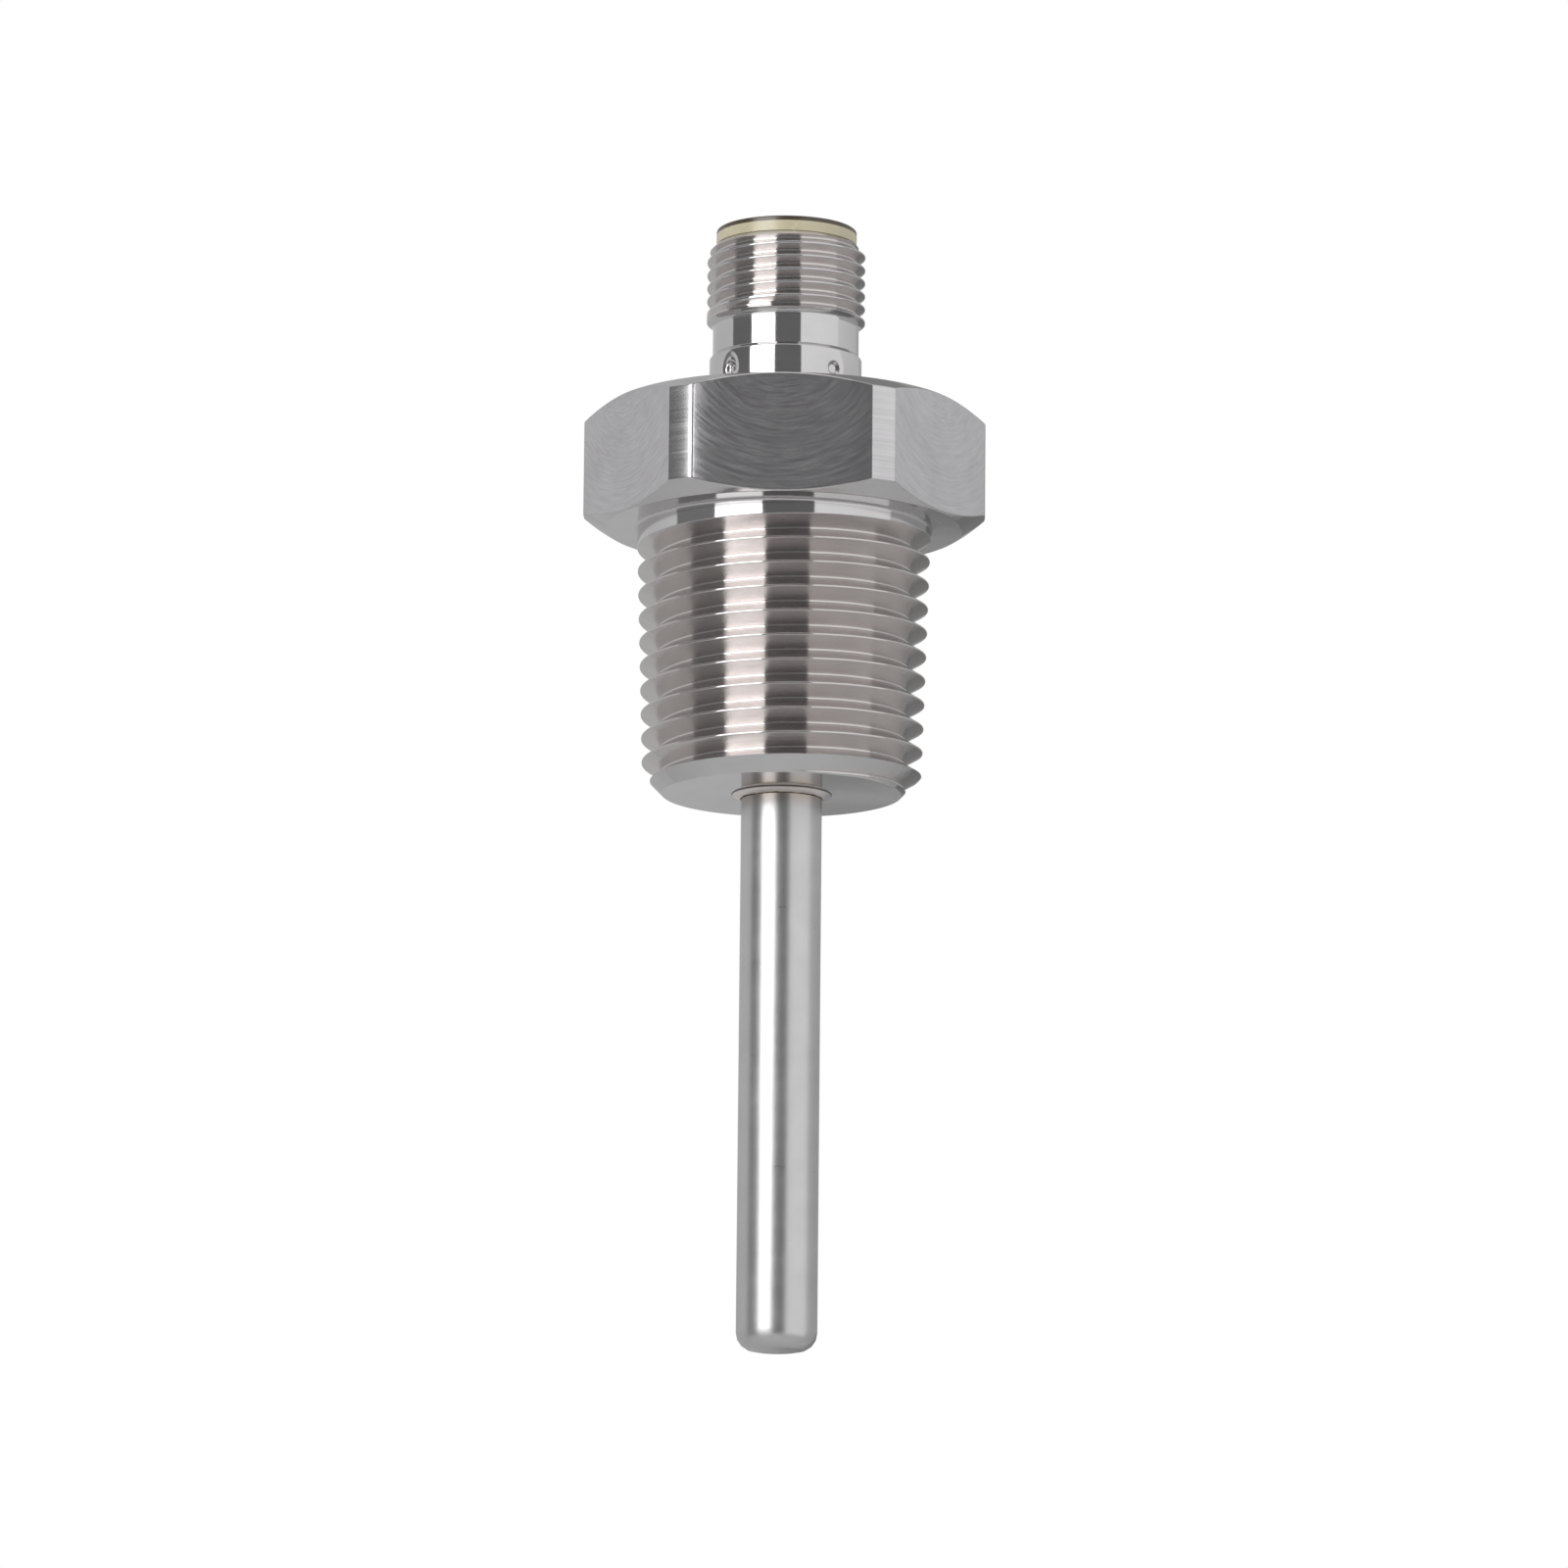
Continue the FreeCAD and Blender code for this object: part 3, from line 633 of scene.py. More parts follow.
def stake_dent(across, up):
    """Depth of a staking dent at a place beside its middle: level floor, steep wall and a shallow dish."""
    wall = (STAKE_RADIUS - math.hypot(across, up)) / (STAKE_RADIUS - STAKE_FLOOR_RADIUS)
    wall = min(1, max(0, wall))
    side, above, below = STAKE_DISH
    outward = math.hypot(across / side, up / (above if up > 0 else below))
    dish = side * max(0, 1 - max(outward, STAKE_RADIUS / side))
    return STAKE_DEPTH * wall * wall * (3 - 2 * wall) + STAKE_DISH_SLOPE * dish


def skirt():
    """Skirt with its four staking dents, and the bore of the shell."""
    bm = bmesh.new()
    outline(bm, [
        (SKIRT_RADIUS - SHELL_EDGE_ACROSS, SKIRT_SHOULDER + SHELL_EDGE_ACROSS, 0),
        (SKIRT_RADIUS, SKIRT_SHOULDER - SHELL_EDGE_ALONG, 0),
        (SKIRT_RADIUS, STAKE_HEIGHT + STAKE_REACH, 0),
        (SKIRT_RADIUS, STAKE_HEIGHT - STAKE_REACH, 0),
        (SKIRT_RADIUS, shell_low.z, SKIRT_FOOT_ROUNDING),
        (SKIRT_BORE, shell_low.z, 0),
        (SKIRT_BORE, fitting_high.z, 0),
        (SHELL_BORE, fitting_high.z, 0),
        (SHELL_BORE, shell_high.z - BORE_BREAK, 0),
    ])
    bm.edges.ensure_lookup_table()
    staked = [
        edge for edge in bm.edges
        if all(abs(abs(vert.co.z / MM - STAKE_HEIGHT) - STAKE_REACH) < NEAR / MM for vert in edge.verts)
    ]
    bmesh.ops.subdivide_edges(bm, edges=staked, cuts=STAKE_ROWS)
    spin(bm, SKIRT_STEPS)
    for vert in bm.verts:
        radius, angle, height = polar(vert)
        if abs(radius - SKIRT_RADIUS) > NEAR / MM:
            continue
        across = nearest_stake(angle) * SKIRT_RADIUS
        if max(abs(across), abs(height - STAKE_HEIGHT)) < STAKE_REACH:
            place(vert, radius - stake_dent(across, height - STAKE_HEIGHT), angle, height)
    return bm


def shell_finish(face):
    """Which of the shell's finishes a face has."""
    centre = face.calc_center_median()
    in_height = THREAD_LOW * MM < centre.z < shell_high.z * MM - TOUCH
    in_groove = SHELL_BORE + INNER_WALL < centre.xy.length / MM < SHELL_THREAD - CREST_SKIN
    return SHELL_FLANK if in_height and in_groove else SHELL_TURNED


def connector_shell(finishes):
    """Threaded sleeve with its neck and staked skirt."""
    bm = shell_thread()
    absorb(bm, skirt())
    bm.edges.ensure_lookup_table()
    neck_rim = (NECK_RADIUS + SHELL_EDGE_ACROSS, SKIRT_TOP)
    join(bm, neck_rim, (SKIRT_RADIUS - SHELL_EDGE_ACROSS, SKIRT_SHOULDER + SHELL_EDGE_ACROSS))
    join(bm, (SHELL_BORE + BORE_BREAK, shell_high.z), (SHELL_BORE, shell_high.z - BORE_BREAK))
    bm = chamfer_end(bm, MOUTH_RADIUS, shell_high.z, 1, SHELL_STEPS)
    for face in bm.faces:
        face.material_index = shell_finish(face)
    piece(bm, "connector_shell_finish", "turned_stainless", finishes, "connector_shell")


# Contact carrier and pins

def move_to_pin(bm, index):
    """Move geometry from the Z axis to a pin's axis."""
    low, high = span(f"contact_pin_{index + 1}")
    middle = (low + high) / 2
    bmesh.ops.translate(bm, verts=bm.verts, vec=(middle.x * MM, middle.y * MM, 0))


def pin_holes():
    """Four round holes with a small countersink at the socket floor."""
    bm = bmesh.new()
    radius = PIN_RADIUS + PIN_PLAY
    low = carrier_low.z - HOLE_OVERRUN
    high = SOCKET_FLOOR + COUNTERSINK_RISE
    for index in range(PIN_COUNT):
        hole = lathe([
            (0, low, 0),
            (radius, low, 0),
            (radius, SOCKET_FLOOR - COUNTERSINK_DEPTH, 0),
            (radius + COUNTERSINK_DEPTH + COUNTERSINK_RISE, high, 0),
            (0, high, 0),
        ], PIN_STEPS)
        move_to_pin(hole, index)
        absorb(bm, hole)
    return bm


def socket_key():
    """Rib on the socket wall that sets the plug's angle."""
    inner = SOCKET_WALL - KEY_DEPTH
    outer = (SOCKET_WALL + CARRIER_RADIUS) / 2
    height = KEY_TOP - SOCKET_FLOOR + KEY_SUNK
    bm = bmesh.new()
    bmesh.ops.create_cube(bm, size=MM)
    bmesh.ops.scale(bm, verts=bm.verts, vec=(outer - inner, KEY_WIDTH, height))
    bare = [edge for edge in bm.edges if all(vert.co.x < 0 or vert.co.z > 0 for vert in edge.verts)]
    soften(bm, bare, KEY_ROUNDING, segments=3)
    bmesh.ops.translate(bm, verts=bm.verts, vec=((outer + inner) / 2 * MM, 0, (KEY_TOP - height / 2) * MM))
    for vert in bm.verts:
        radius, angle, level = polar(vert)
        place(vert, radius, angle + KEY_ANGLE, level)
    return bm


def contact_carrier(finish):
    """Moulded insert with a keyed socket and a rounded rim."""
    bm = lathe([
        (0, carrier_low.z, 0),
        (BOSS_RADIUS, carrier_low.z, BOSS_ROUNDING),
        (BOSS_RADIUS, fitting_high.z, 0),
        (CARRIER_RADIUS, fitting_high.z, 0),
        (CARRIER_RADIUS, shell_high.z, 0),
        (carrier_high.x - RIM_GROOVE, shell_high.z, 0),
        (carrier_high.x - RIM_GROOVE, shell_high.z + RIM_GROOVE / 2, 0),
        (carrier_high.x, shell_high.z + RIM_GROOVE / 2, RIM_FOOT_ROUNDING),
        (carrier_high.x, carrier_high.z, RIM_ROUNDING),
        (SOCKET_WALL, carrier_high.z, MOUTH_ROUNDING),
        (SOCKET_WALL, SOCKET_FLOOR, FLOOR_ROUNDING),
        (0, SOCKET_FLOOR, 0),
    ], CARRIER_STEPS)
    bm = carve(bm, socket_key(), "UNION")
    bm = carve(bm, pin_holes(), "DIFFERENCE")
    piece(bm, "contact_carrier_finish", "carrier_plastic", [finish], "contact_carrier")


def contact_pin(index, finish):
    """Turned contact with a domed tip."""
    name = f"contact_pin_{index + 1}"
    low, high = span(name)
    bm = lathe([
        (0, low.z, 0),
        (PIN_RADIUS, low.z, PIN_FOOT_ROUNDING),
        (PIN_RADIUS, carrier_low.z - PIN_COLLAR_HEIGHT, 0),
        (PIN_COLLAR_RADIUS, carrier_low.z - PIN_COLLAR_HEIGHT, PIN_COLLAR_ROUNDING),
        (PIN_COLLAR_RADIUS, carrier_low.z, 0),
        (PIN_RADIUS, carrier_low.z, 0),
        (PIN_RADIUS, high.z - PIN_TAPER, PIN_TAPER_ROUNDING),
        (PIN_RADIUS * PIN_TIP_SHARE, high.z - PIN_DOME, PIN_DOME),
        (0, high.z, 0),
    ], PIN_STEPS)
    move_to_pin(bm, index)
    piece(bm, f"{name}_finish", "contact_gold", [finish], name)


# Probe

def probe_sheath(finish):
    """Closed tube with a rounded tip, a little slimmer where it seats in the fitting."""
    bm = lathe([
        (0, sheath_low.z, 0),
        (SHEATH_RADIUS, sheath_low.z, TIP_ROUNDING),
        (SHEATH_RADIUS, bead_low.z, SHOULDER_ROUNDING),
        (SEAT_RADIUS, bead_low.z, 0),
        (SEAT_RADIUS, SHEATH_STOP, STOP_ROUNDING),
        (SHEATH_BORE, SHEATH_STOP, 0),
        (SHEATH_BORE, sheath_low.z + SHEATH_FLOOR, SHEATH_FLOOR_ROUNDING),
        (0, sheath_low.z + SHEATH_FLOOR, 0),
    ], SHEATH_STEPS)
    piece(bm, "probe_sheath_finish", "drawn_stainless", [finish], "probe_sheath")


def weld_ripple(angle):
    """Uneven flow of the weld round the joint, about -1 to 1."""
    return sum(share * math.sin(count * angle + shift) for count, shift, share in RIPPLE_WAVES)


def weld_bead(finish):
    """Sloping ring weld with an uneven lower edge."""
    upper = [(radius, bead_high.z - drop, rounding) for radius, drop, rounding in BEAD_UPPER]
    lower = [(radius, bead_low.z + rise, rounding) for radius, rise, rounding in BEAD_LOWER]
    bm = lathe(upper + lower, BEAD_STEPS, closed=True)
    for vert in bm.verts:
        radius, angle, height = polar(vert)
        sway = BEAD_RIPPLE * (bead_high.z - height) / (bead_high.z - bead_low.z)
        if radius > SHEATH_RADIUS:
            radius += sway * weld_ripple(angle)
            height += sway * weld_ripple(angle + RIPPLE_SHIFT)
            place(vert, radius, angle, height)
    piece(bm, "weld_bead_finish", "drawn_stainless", [finish], "weld_bead")


# Material helpers

def feed(tree, socket, value):
    """Link an output to a node's input, or set the input to a plain value."""
    if isinstance(value, bpy.types.NodeSocket):
        tree.links.new(value, socket)
    else:
        socket.default_value = value


def add(tree, kind, settings=None, **inputs):
    """New node with its settings and input values; underscores in input names stand for spaces."""
    node = tree.nodes.new(kind)
    for key, value in (settings or {}).items():
        setattr(node, key, value)
    for key, value in inputs.items():
        feed(tree, node.inputs[key.replace("_", " ")], value)
    return node


def maths(tree, operation, first, second=0.0):
    node = tree.nodes.new("ShaderNodeMath")
    node.operation = operation
    for socket, value in zip(node.inputs, (first, second)):
        feed(tree, socket, value)
    return node.outputs[0]


def new_group(name, inputs, outputs):
    """Shader node group with float sockets."""
    tree = bpy.data.node_groups.new(name, "ShaderNodeTree")
    for label in inputs:
        tree.interface.new_socket(label, in_out="INPUT", socket_type="NodeSocketFloat")
    for label in outputs:
        tree.interface.new_socket(label, in_out="OUTPUT", socket_type="NodeSocketFloat")
    return tree, tree.nodes.new("NodeGroupInput"), tree.nodes.new("NodeGroupOutput")


def remap(tree, value, low, high, to_low, to_high):
    return add(tree, "ShaderNodeMapRange", {"clamp": True}, Value=value, From_Min=low, From_Max=high,
               To_Min=to_low, To_Max=to_high).outputs["Result"]


def spot_parts(tree):
    """Object coordinates as X, Y and Z."""
    where = add(tree, "ShaderNodeTexCoord").outputs["Object"]
    return add(tree, "ShaderNodeSeparateXYZ", Vector=where).outputs


def flat_vector(tree, first, second):
    return add(tree, "ShaderNodeCombineXYZ", X=first, Y=second).outputs[0]


def length(tree, vector):
    node = add(tree, "ShaderNodeVectorMath", {"operation": "LENGTH"})
    tree.links.new(vector, node.inputs[0])
    return node.outputs["Value"]


def ring_lines_group():
    """Fine lines round the axis: a pattern quick along radius and height, slow round the turn."""
    tree, given, out = new_group("ring_lines", ["Per Millimetre", "Drift"], ["Lines"])
    parts = spot_parts(tree)
    flat = flat_vector(tree, parts["X"], parts["Y"])
    heading = add(tree, "ShaderNodeVectorMath", {"operation": "NORMALIZE"})
    tree.links.new(flat, heading.inputs[0])
    heading = add(tree, "ShaderNodeSeparateXYZ", Vector=heading.outputs["Vector"]).outputs
    rate = maths(tree, "DIVIDE", given.outputs["Per Millimetre"], MM)
    noise = add(
        tree, "ShaderNodeTexNoise", {"noise_dimensions": "4D"},
        Vector=add(
            tree, "ShaderNodeCombineXYZ",
            X=maths(tree, "MULTIPLY", length(tree, flat), rate),
            Y=maths(tree, "MULTIPLY", parts["Z"], rate),
            Z=maths(tree, "MULTIPLY", heading["X"], given.outputs["Drift"]),
        ).outputs[0],
        W=maths(tree, "MULTIPLY", heading["Y"], given.outputs["Drift"]),
        **LINE_NOISE,
    )
    tree.links.new(noise.outputs["Fac"], out.inputs["Lines"])
    return tree


def cloudy_group():
    """Soft uneven patches with a little fine grain in them, and smooth waves of the same size."""
    tree, given, out = new_group("cloudy", ["Per Millimetre"], ["Patches", "Grain", "Waves"])
    where = add(tree, "ShaderNodeTexCoord").outputs["Object"]
    rate = maths(tree, "DIVIDE", given.outputs["Per Millimetre"], MM)
    fine = maths(tree, "MULTIPLY", rate, GRAIN_FINENESS)
    for label, scale, detail in (("Patches", rate, 4.0), ("Grain", fine, 2.0), ("Waves", rate, 0.0)):
        noise = add(tree, "ShaderNodeTexNoise", Vector=where, Scale=scale, Detail=detail, Roughness=0.55)
        tree.links.new(noise.outputs["Fac"], out.inputs[label])
    return tree


def mill_marks_group():
    """Arcs that a cutter leaves on the hexagon's flats, and how far the flats fall off at their sides."""
    tree, given, out = new_group("mill_marks", ["Per Millimetre", "Drift"], ["Marks", "Fall"])
    parts = spot_parts(tree)
    side = maths(tree, "DIVIDE", maths(tree, "ARCTAN2", parts["Y"], parts["X"]), SIXTH_TURN)
    off = maths(tree, "MULTIPLY", maths(tree, "SUBTRACT", maths(tree, "FRACT", side), 0.5), SIXTH_TURN)
    along = maths(tree, "MULTIPLY", maths(tree, "TANGENT", off), HEX_HALF)
    down = maths(tree, "SUBTRACT", CUTTER_HEIGHT, maths(tree, "DIVIDE", parts["Z"], MM))
    reach = length(tree, flat_vector(tree, along, down))
    sweep = maths(tree, "ARCTAN2", along, down)
    noise = add(
        tree, "ShaderNodeTexNoise",
        Vector=add(
            tree, "ShaderNodeCombineXYZ",
            X=maths(tree, "MULTIPLY", reach, given.outputs["Per Millimetre"]),
            Y=maths(tree, "MULTIPLY", sweep, given.outputs["Drift"]),
            Z=maths(tree, "MULTIPLY", maths(tree, "FLOOR", side), FLAT_SHIFT),
        ).outputs[0],
        **LINE_NOISE,
    )
    tree.links.new(noise.outputs["Fac"], out.inputs["Marks"])
    outer = remap(tree, maths(tree, "ABSOLUTE", along), FLAT_HALF - EASED_SIDE, FLAT_HALF, 0, 1)
    tree.links.new(maths(tree, "POWER", outer, FALL_POWER), out.inputs["Fall"])
    return tree


ring_lines = ring_lines_group()
cloudy = cloudy_group()
mill_marks = mill_marks_group()


def group_node(tree, group, **inputs):
    return add(tree, "ShaderNodeGroup", {"node_tree": group}, **inputs)


def blank(name):
    """Material with only a Principled shader; returns the material, its tree and the shader."""
    material = bpy.data.materials.new(name)
    material.use_nodes = True
    tree = material.node_tree
    return material, tree, tree.nodes["Principled BSDF"]


def blend_colours(tree, factor, first, second):
    """Blend of two colours, each an output or three plain values."""
    node = add(tree, "ShaderNodeMix", {"data_type": "RGBA"}, Factor=factor)
    colours = [socket for socket in node.inputs if socket.type == "RGBA"]
    for socket, value in zip(colours, (first, second)):
        feed(tree, socket, (*value, 1) if isinstance(value, tuple) else value)
    return next(socket for socket in node.outputs if socket.type == "RGBA")


def mixed(tree, first, second, share):
    """Sum of two patterns; the first has the given share."""
    kept = maths(tree, "MULTIPLY", first, share)
    return maths(tree, "ADD", kept, maths(tree, "MULTIPLY", second, 1 - share))


def dress(tree, shader, tone, dark, light, gloss):
    """Colour between two tones, by a pattern, and a varying roughness."""
    tree.links.new(blend_colours(tree, tone, dark, light), shader.inputs["Base Color"])
    tree.links.new(gloss, shader.inputs["Roughness"])


def relief(tree, shader, *layers):
    """Bump from layers given as a height pattern and its full depth in millimetres."""
    total = 0.0
    for pattern, depth in layers:
        total = maths(tree, "ADD", maths(tree, "MULTIPLY", pattern, depth * MM), total)
    bump = add(tree, "ShaderNodeBump", Strength=1.0, Distance=1.0, Height=total)
    tree.links.new(bump.outputs["Normal"], shader.inputs["Normal"])


def steel(name, dark, light, roughness, lines, depth, waves=0.0, streaks=0.3, spread=1.25, brushed=0.0):
    """Stainless steel with lines round the axis, slow waves, and a tint and gloss that vary a little."""
    material, tree, shader = blank(name)
    shader.inputs["Metallic"].default_value = 1.0
    shader.inputs["Anisotropic"].default_value = brushed
    shader.inputs["Anisotropic Rotation"].default_value = ACROSS_THE_LINES
    cut = group_node(tree, ring_lines, Per_Millimetre=lines, Drift=0.6).outputs["Lines"]
    uneven = group_node(tree, cloudy, Per_Millimetre=0.35).outputs
    tone = remap(tree, mixed(tree, cut, uneven["Patches"], streaks), *NOISE_RANGE, 0, 1)
    gloss = remap(tree, cut, *NOISE_RANGE, roughness / spread, roughness * spread)
    dress(tree, shader, tone, dark, light, gloss)
    relief(tree, shader, (cut, depth), (uneven["Waves"], waves))
    return material


def milled(name, dark, light, roughness, depth):
    """Face-milled stainless steel: faint arcs over soft patches."""
    material, tree, shader = blank(name)
    shader.inputs["Metallic"].default_value = 1.0
    cut = group_node(tree, mill_marks, Per_Millimetre=6.0, Drift=4.5).outputs
    patches = group_node(tree, cloudy, Per_Millimetre=0.3).outputs["Patches"]
    tone = remap(tree, mixed(tree, cut["Marks"], patches, MARK_SHARE), *MILLED_RANGE, 0, 1)
    gloss = remap(tree, cut["Marks"], *NOISE_RANGE, *(roughness * share for share in MILLED_GLOSS))
    dress(tree, shader, tone, dark, light, gloss)
    relief(tree, shader, (cut["Marks"], depth), (cut["Fall"], -EASED_DEPTH))
    return material


def plain(name, dark, light, roughness, metallic=0.0, scale=0.4, grain=0.001):
    """Moulded, cast or welded finish with soft patches and fine grain."""
    material, tree, shader = blank(name)
    shader.inputs["Metallic"].default_value = metallic
    surface = group_node(tree, cloudy, Per_Millimetre=scale).outputs
    gloss = remap(tree, surface["Patches"], *NOISE_RANGE, *(roughness * share for share in PLAIN_GLOSS))
    dress(tree, shader, surface["Patches"], dark, light, gloss)
    relief(tree, shader, (surface["Grain"], grain))
    return material


def tint(material, measure, start, full, colour):
    """Blend a colour over the finish: none where a measure has its start value, all at the full one."""
    tree = material.node_tree
    share = remap(tree, measure, start * MM, full * MM, 0, 1)
    target = tree.nodes["Principled BSDF"].inputs["Base Color"]
    tree.links.new(blend_colours(tree, share, target.links[0].from_socket, colour), target)


def tint_by_height(material, start, full, colour):
    """Tint by the height on the axis."""
    tint(material, spot_parts(material.node_tree)["Z"], start, full, colour)


def tint_by_radius(material, start, full, colour):
    """Tint by the distance from the axis."""
    tree = material.node_tree
    parts = spot_parts(tree)
    tint(material, length(tree, flat_vector(tree, parts["X"], parts["Y"])), start, full, colour)


# Finishes

turned_steel = steel(
    "turned_steel", dark=(0.58, 0.57, 0.575), light=(0.64, 0.63, 0.635),
    roughness=0.09, lines=6.0, depth=0.0016, waves=0.002, brushed=0.8,
)
corner_steel = steel(
    "corner_steel", dark=(0.50, 0.49, 0.50), light=(0.68, 0.67, 0.68),
    roughness=0.18, lines=7.0, depth=0.0012, streaks=0.7, spread=1.15,
)
milled_steel = milled(
    "milled_steel", dark=(0.49, 0.48, 0.495), light=(0.63, 0.62, 0.635), roughness=0.2, depth=0.0012,
)
thread_steel = steel(
    "thread_steel", dark=(0.60, 0.575, 0.565), light=(0.66, 0.63, 0.62),
    roughness=0.145, lines=8.0, depth=0.0007, brushed=1.0,
)
drawn_steel = steel(
    "drawn_steel", dark=(0.56, 0.555, 0.56), light=(0.62, 0.615, 0.62),
    roughness=0.3, lines=1.2, depth=0.0003, waves=0.014, spread=1.1,
)
tint_by_height(drawn_steel, *HEAT_TINT, colour=(0.53, 0.47, 0.42))
weld_metal = plain(
    "weld_metal", dark=(0.70, 0.67, 0.65), light=(0.86, 0.82, 0.80),
    roughness=0.36, metallic=1.0, scale=2.0,
)
# Painted shade at the weld's outer rim and toe, where it meets the end face and the probe, partly the
# weld's oxide
tint_by_radius(weld_metal, *BEAD_RIM_SHADE_AND_OXIDE, colour=(0.16, 0.14, 0.13))
tint_by_radius(weld_metal, *BEAD_TOE_SHADE_AND_OXIDE, colour=(0.16, 0.13, 0.11))
carrier_plastic = plain(
    "carrier_plastic", dark=(0.54, 0.485, 0.325), light=(0.61, 0.555, 0.39), roughness=0.26,
)
carrier_plastic.node_tree.nodes["Principled BSDF"].inputs["IOR"].default_value = PLASTIC_IOR
tint_by_height(carrier_plastic, *RIM_TINT, colour=(0.06, 0.045, 0.025))
contact_gold = plain(
    "contact_gold", dark=(0.78, 0.56, 0.22), light=(0.90, 0.68, 0.30), roughness=0.18, metallic=1.0,
)

# Dark and light tone, then the roughness, of what stays inside
FINISH_OF_NODE = {
    "shell_seal": plain("seal_rubber", (0.012, 0.012, 0.012), (0.03, 0.03, 0.03), 0.6, grain=0.004),
    "lead_wire": plain("lead_cover", (0.76, 0.75, 0.70), (0.86, 0.85, 0.80), 0.45),
    "lead_insulator": plain("fired_ceramic", (0.80, 0.77, 0.70), (0.90, 0.88, 0.82), 0.7, grain=0.003),
    "platinum_element": plain("chip_ceramic", (0.78, 0.76, 0.72), (0.88, 0.86, 0.82), 0.55),
    "splice_tab": plain("tab_nickel", (0.58, 0.56, 0.52), (0.68, 0.66, 0.62), 0.3, metallic=1.0),
    "thermal_filler": plain("fill_paste", (0.68, 0.68, 0.66), (0.80, 0.80, 0.78), 0.8, grain=0.006),
    "potting_compound": plain("potting_resin", (0.015, 0.015, 0.017), (0.04, 0.04, 0.045), 0.4),
}


def dress_hidden_nodes():
    """Finish of the pieces that stay inside the sensor."""
    for node, item in frame["nodes"].items():
        for start, finish in FINISH_OF_NODE.items():
            if node.startswith(start):
                item.data.materials.clear()
                item.data.materials.append(finish)


# Studio

PANEL_RADIUS = 0.95
PANEL_TOP = 1.5
PANEL_STEP = 4
PANEL_MIN_STEPS = 4
FLOOR = -0.5
FLOOR_SIZE = 6
FLOOR_GLOW = 0.5
WHITE = (1, 1, 1, 1)

# Camera: angles in degrees, its place in metres before it is turned by the bearing
CAMERA_BEARING = 1.0
CAMERA_TILT = 100.88
CAMERA_ROLL = 0.53
CAMERA_PLACE = (0.000175, -0.7, -0.15383)
CAMERA_LENS = 220.4
CAMERA_SENSOR = 36.0
CAMERA_CLIP = 20

# Upright panels round the sensor: the bearings of both edges, then bands from the floor upwards, each with
# the height of its top and the brightness at both edges
PANELS = {
    "back_left_screen": (-179, -91, (
        (-0.17, 0.52, 0.55),
        (0.09, 0.46, 0.58),
        (0.165, 0.52, 0.74),
        (0.42, 0.58, 0.68),
        (PANEL_TOP, 0.50, 0.54),
    )),
    "left_flag": (-91, -54, ((0.165, 0.26, 0.26), (0.42, 0.18, 0.18), (PANEL_TOP, 0.31, 0.31))),
    "left_softbox": (-54, -16, (
        (-0.32, 1.2, 1.2),
        (0.13, 1.65, 1.65),
        (0.62, 4.4, 4.4),
        (PANEL_TOP, 1.3, 1.3),
    )),
    "camera_flag": (-16, 24.5, ((0.165, 0.165, 0.165), (0.62, 0.175, 0.175), (PANEL_TOP, 0.46, 0.46))),
    "right_screen": (24.5, 92, ((0.62, 1.0, 0.93), (PANEL_TOP, 0.75, 0.56))),
    "back_right_screen": (92, 149, ((0.165, 0.50, 0.40), (0.62, 0.80, 0.60), (PANEL_TOP, 0.44, 0.25))),
    "back_right_flag": (149, 174, (
        (-0.42, 0.34, 0.34),
        (-0.34, 0.27, 0.27),
        (0.02, 0.205, 0.215),
        (0.62, 0.50, 0.39),
        (PANEL_TOP, 0.26, 0.26),
    )),
    "back_flag": (174, 181, (
        (-0.2075, 0.17, 0.17),
        (-0.17, 0.42, 0.42),
        (0.02, 0.24, 0.24),
        (0.62, 0.38, 0.38),
        (PANEL_TOP, 0.26, 0.26),
    )),
}


def panel_light(name, start, end, first, last):
    """Emission that changes evenly from one upright edge of a panel to the other."""
    material = bpy.data.materials.new(name)
    material.use_nodes = True
    tree = material.node_tree
    tree.nodes.clear()
    parts = spot_parts(tree)
    bearing = maths(tree, "ARCTAN2", parts["X"], maths(tree, "MULTIPLY", parts["Y"], -1.0))
    strength = remap(tree, bearing, math.radians(start), math.radians(end), first, last)
    light = add(tree, "ShaderNodeEmission", Color=WHITE, Strength=strength)
    out = tree.nodes.new("ShaderNodeOutputMaterial")
    tree.links.new(light.outputs[0], out.inputs["Surface"])
    return material


def panel(name, start, end, low, high, first, last):
    """Upright curved panel between two bearings in degrees; zero faces the front flat of the hexagon."""
    bm = bmesh.new()
    angle = front_angle(start)
    side = Vector((math.cos(angle), math.sin(angle), 0)) * PANEL_RADIUS
    foot = bm.verts.new(side + Vector((0, 0, low)))
    head = bm.verts.new(side + Vector((0, 0, high)))
    bm.edges.new((foot, head))
    bmesh.ops.spin(
        bm, geom=bm.verts[:] + bm.edges[:], cent=(0, 0, 0), axis=(0, 0, 1), dvec=(0, 0, 0),
        angle=math.radians(end - start), steps=max(PANEL_MIN_STEPS, int((end - start) / PANEL_STEP)),
        use_merge=False, use_duplicate=False,
    )
    made = stand(name, mesh_of(bm, name))
    made.data.materials.append(panel_light(f"{name}_light", start, end, first, last))
    made.visible_camera = False


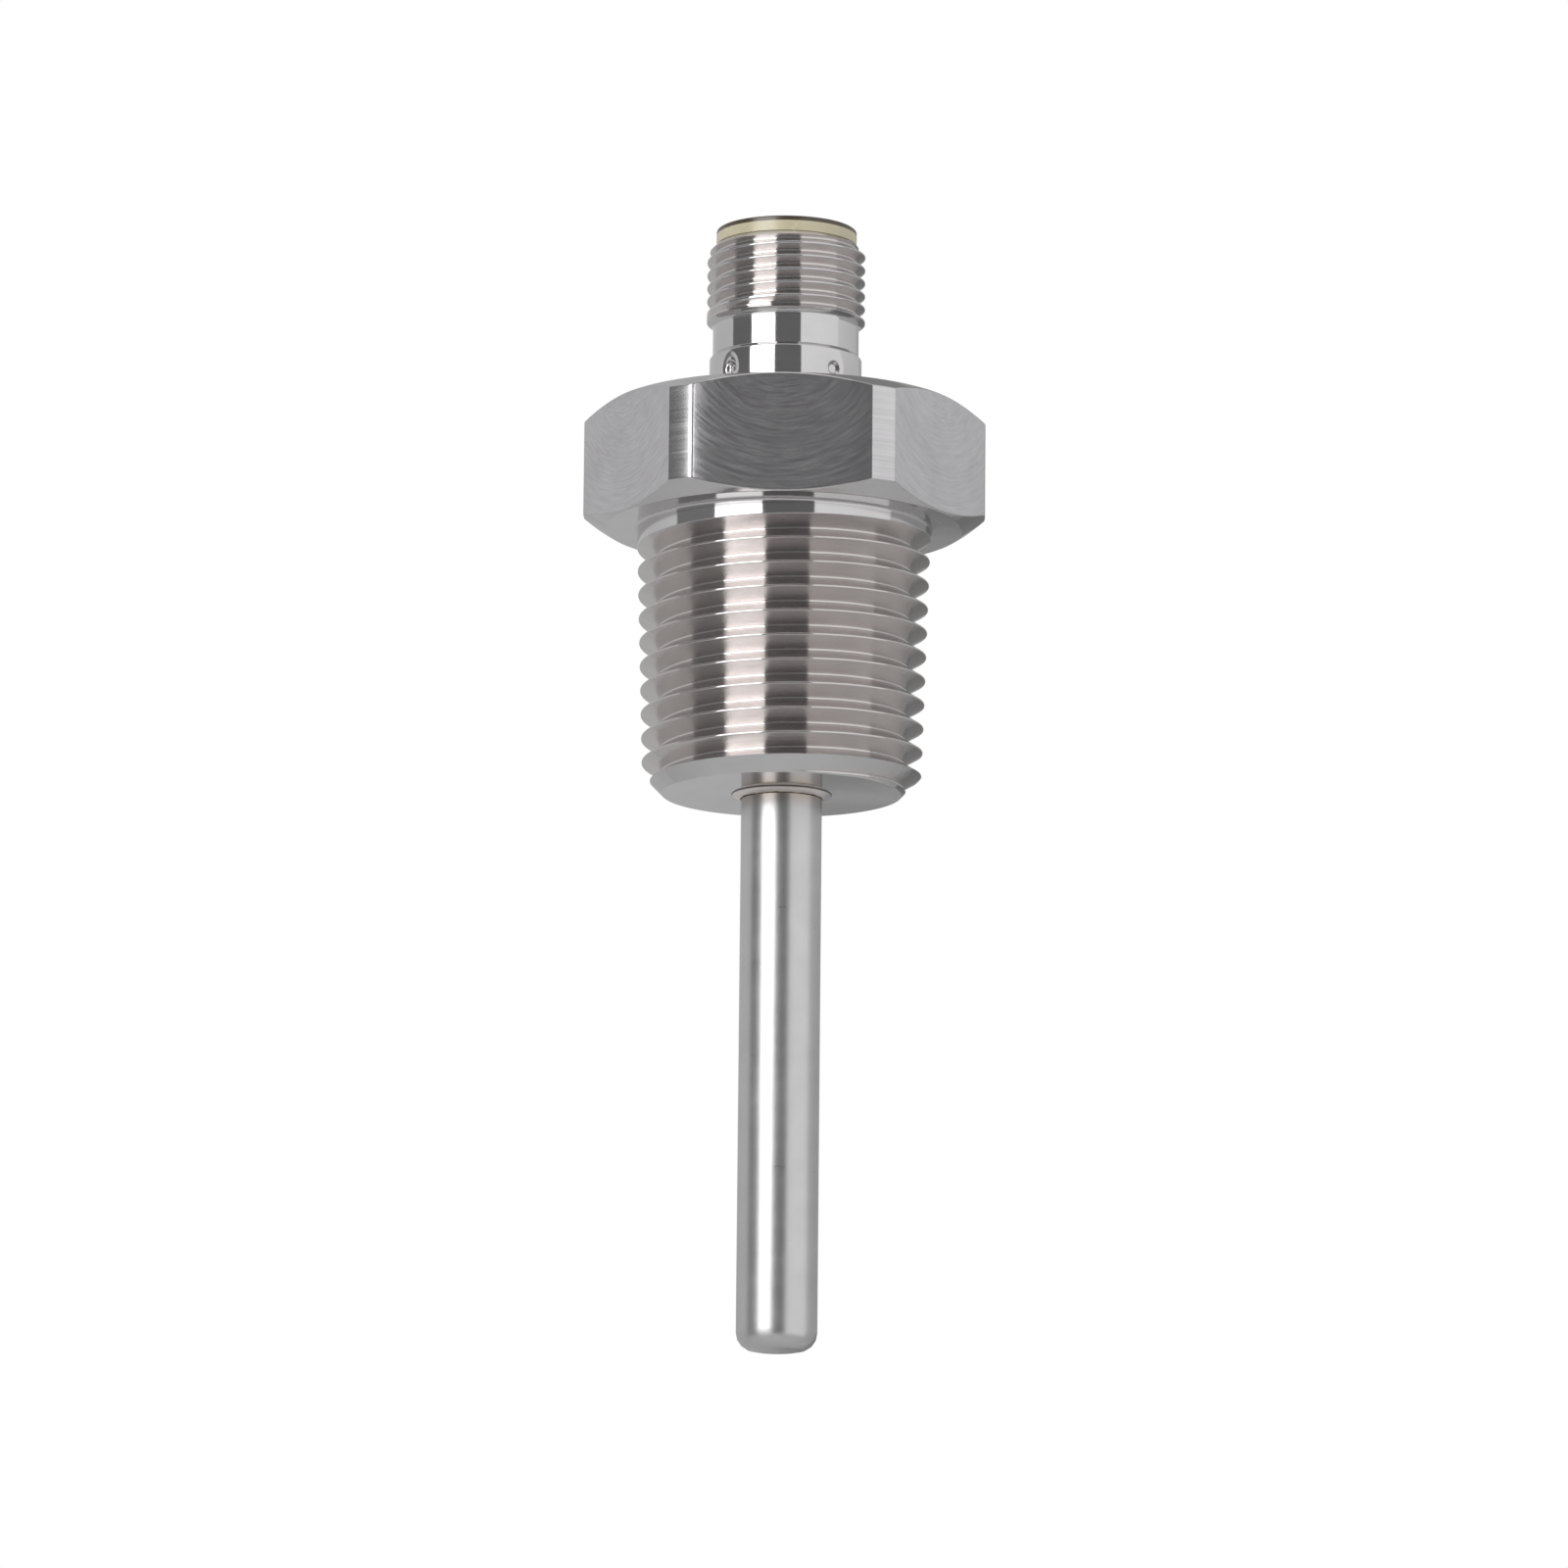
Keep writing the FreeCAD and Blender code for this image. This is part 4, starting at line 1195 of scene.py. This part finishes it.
def floor():
    """Wide pale floor well below the sensor."""
    bm = bmesh.new()
    bmesh.ops.create_grid(bm, x_segments=1, y_segments=1, size=FLOOR_SIZE)
    bmesh.ops.translate(bm, verts=bm.verts, vec=(0, 0, FLOOR))
    made = stand("floor", mesh_of(bm, "floor"))
    material, tree, shader = blank("pale_floor")
    shader.inputs["Base Color"].default_value = (0.8, 0.8, 0.8, 1)
    shader.inputs["Roughness"].default_value = 0.9
    shader.inputs["Emission Color"].default_value = WHITE
    seen = tree.nodes.new("ShaderNodeLightPath").outputs["Is Camera Ray"]
    tree.links.new(maths(tree, "MULTIPLY", seen, FLOOR_GLOW), shader.inputs["Emission Strength"])
    made.data.materials.append(material)


def world():
    """White surround, seen by the camera and in the metal; a little weaker as light."""
    surround = bpy.data.worlds.new("surround")
    bpy.context.scene.world = surround
    surround.use_nodes = True
    tree = surround.node_tree
    tree.nodes.clear()
    path = tree.nodes.new("ShaderNodeLightPath")
    seen = maths(tree, "MAXIMUM", path.outputs["Is Camera Ray"], path.outputs["Is Glossy Ray"])
    seen = maths(tree, "MAXIMUM", seen, path.outputs["Is Transmission Ray"])
    light = add(tree, "ShaderNodeBackground", Color=WHITE, Strength=0.7)
    white = add(tree, "ShaderNodeBackground", Color=WHITE, Strength=1.0)
    mix = tree.nodes.new("ShaderNodeMixShader")
    tree.links.new(seen, mix.inputs[0])
    tree.links.new(light.outputs[0], mix.inputs[1])
    tree.links.new(white.outputs[0], mix.inputs[2])
    out = tree.nodes.new("ShaderNodeOutputWorld")
    tree.links.new(mix.outputs[0], out.inputs["Surface"])


def studio():
    """Surround, floor and all panels, band by band."""
    world()
    floor()
    for name, (start, end, bands) in PANELS.items():
        low = FLOOR
        for order, (high, first, last) in enumerate(bands):
            panel(f"{name}_{order}", start, end, low, high, first, last)
            low = high


def camera():
    """Long lens a little below the sensor, looking up at it."""
    lens = bpy.data.cameras.new("camera")
    lens.lens = CAMERA_LENS
    lens.sensor_width = CAMERA_SENSOR
    lens.clip_end = CAMERA_CLIP
    made = stand("camera", lens)
    turn = Matrix.Rotation(math.radians(CAMERA_BEARING), 3, "Z")
    tilt = Matrix.Rotation(math.radians(CAMERA_TILT), 3, "X")
    roll = Matrix.Rotation(math.radians(CAMERA_ROLL), 3, "Z")
    made.location = turn @ Vector(CAMERA_PLACE)
    made.rotation_euler = (turn @ tilt @ roll).to_euler()
    bpy.context.scene.camera = made


process_fitting([turned_steel, milled_steel, thread_steel, corner_steel])
connector_shell([turned_steel, thread_steel])
contact_carrier(carrier_plastic)
for pin in range(PIN_COUNT):
    contact_pin(pin, contact_gold)
probe_sheath(drawn_steel)
weld_bead(weld_metal)
dress_hidden_nodes()
studio()
camera()
bpy.context.scene.view_settings.view_transform = "Standard"
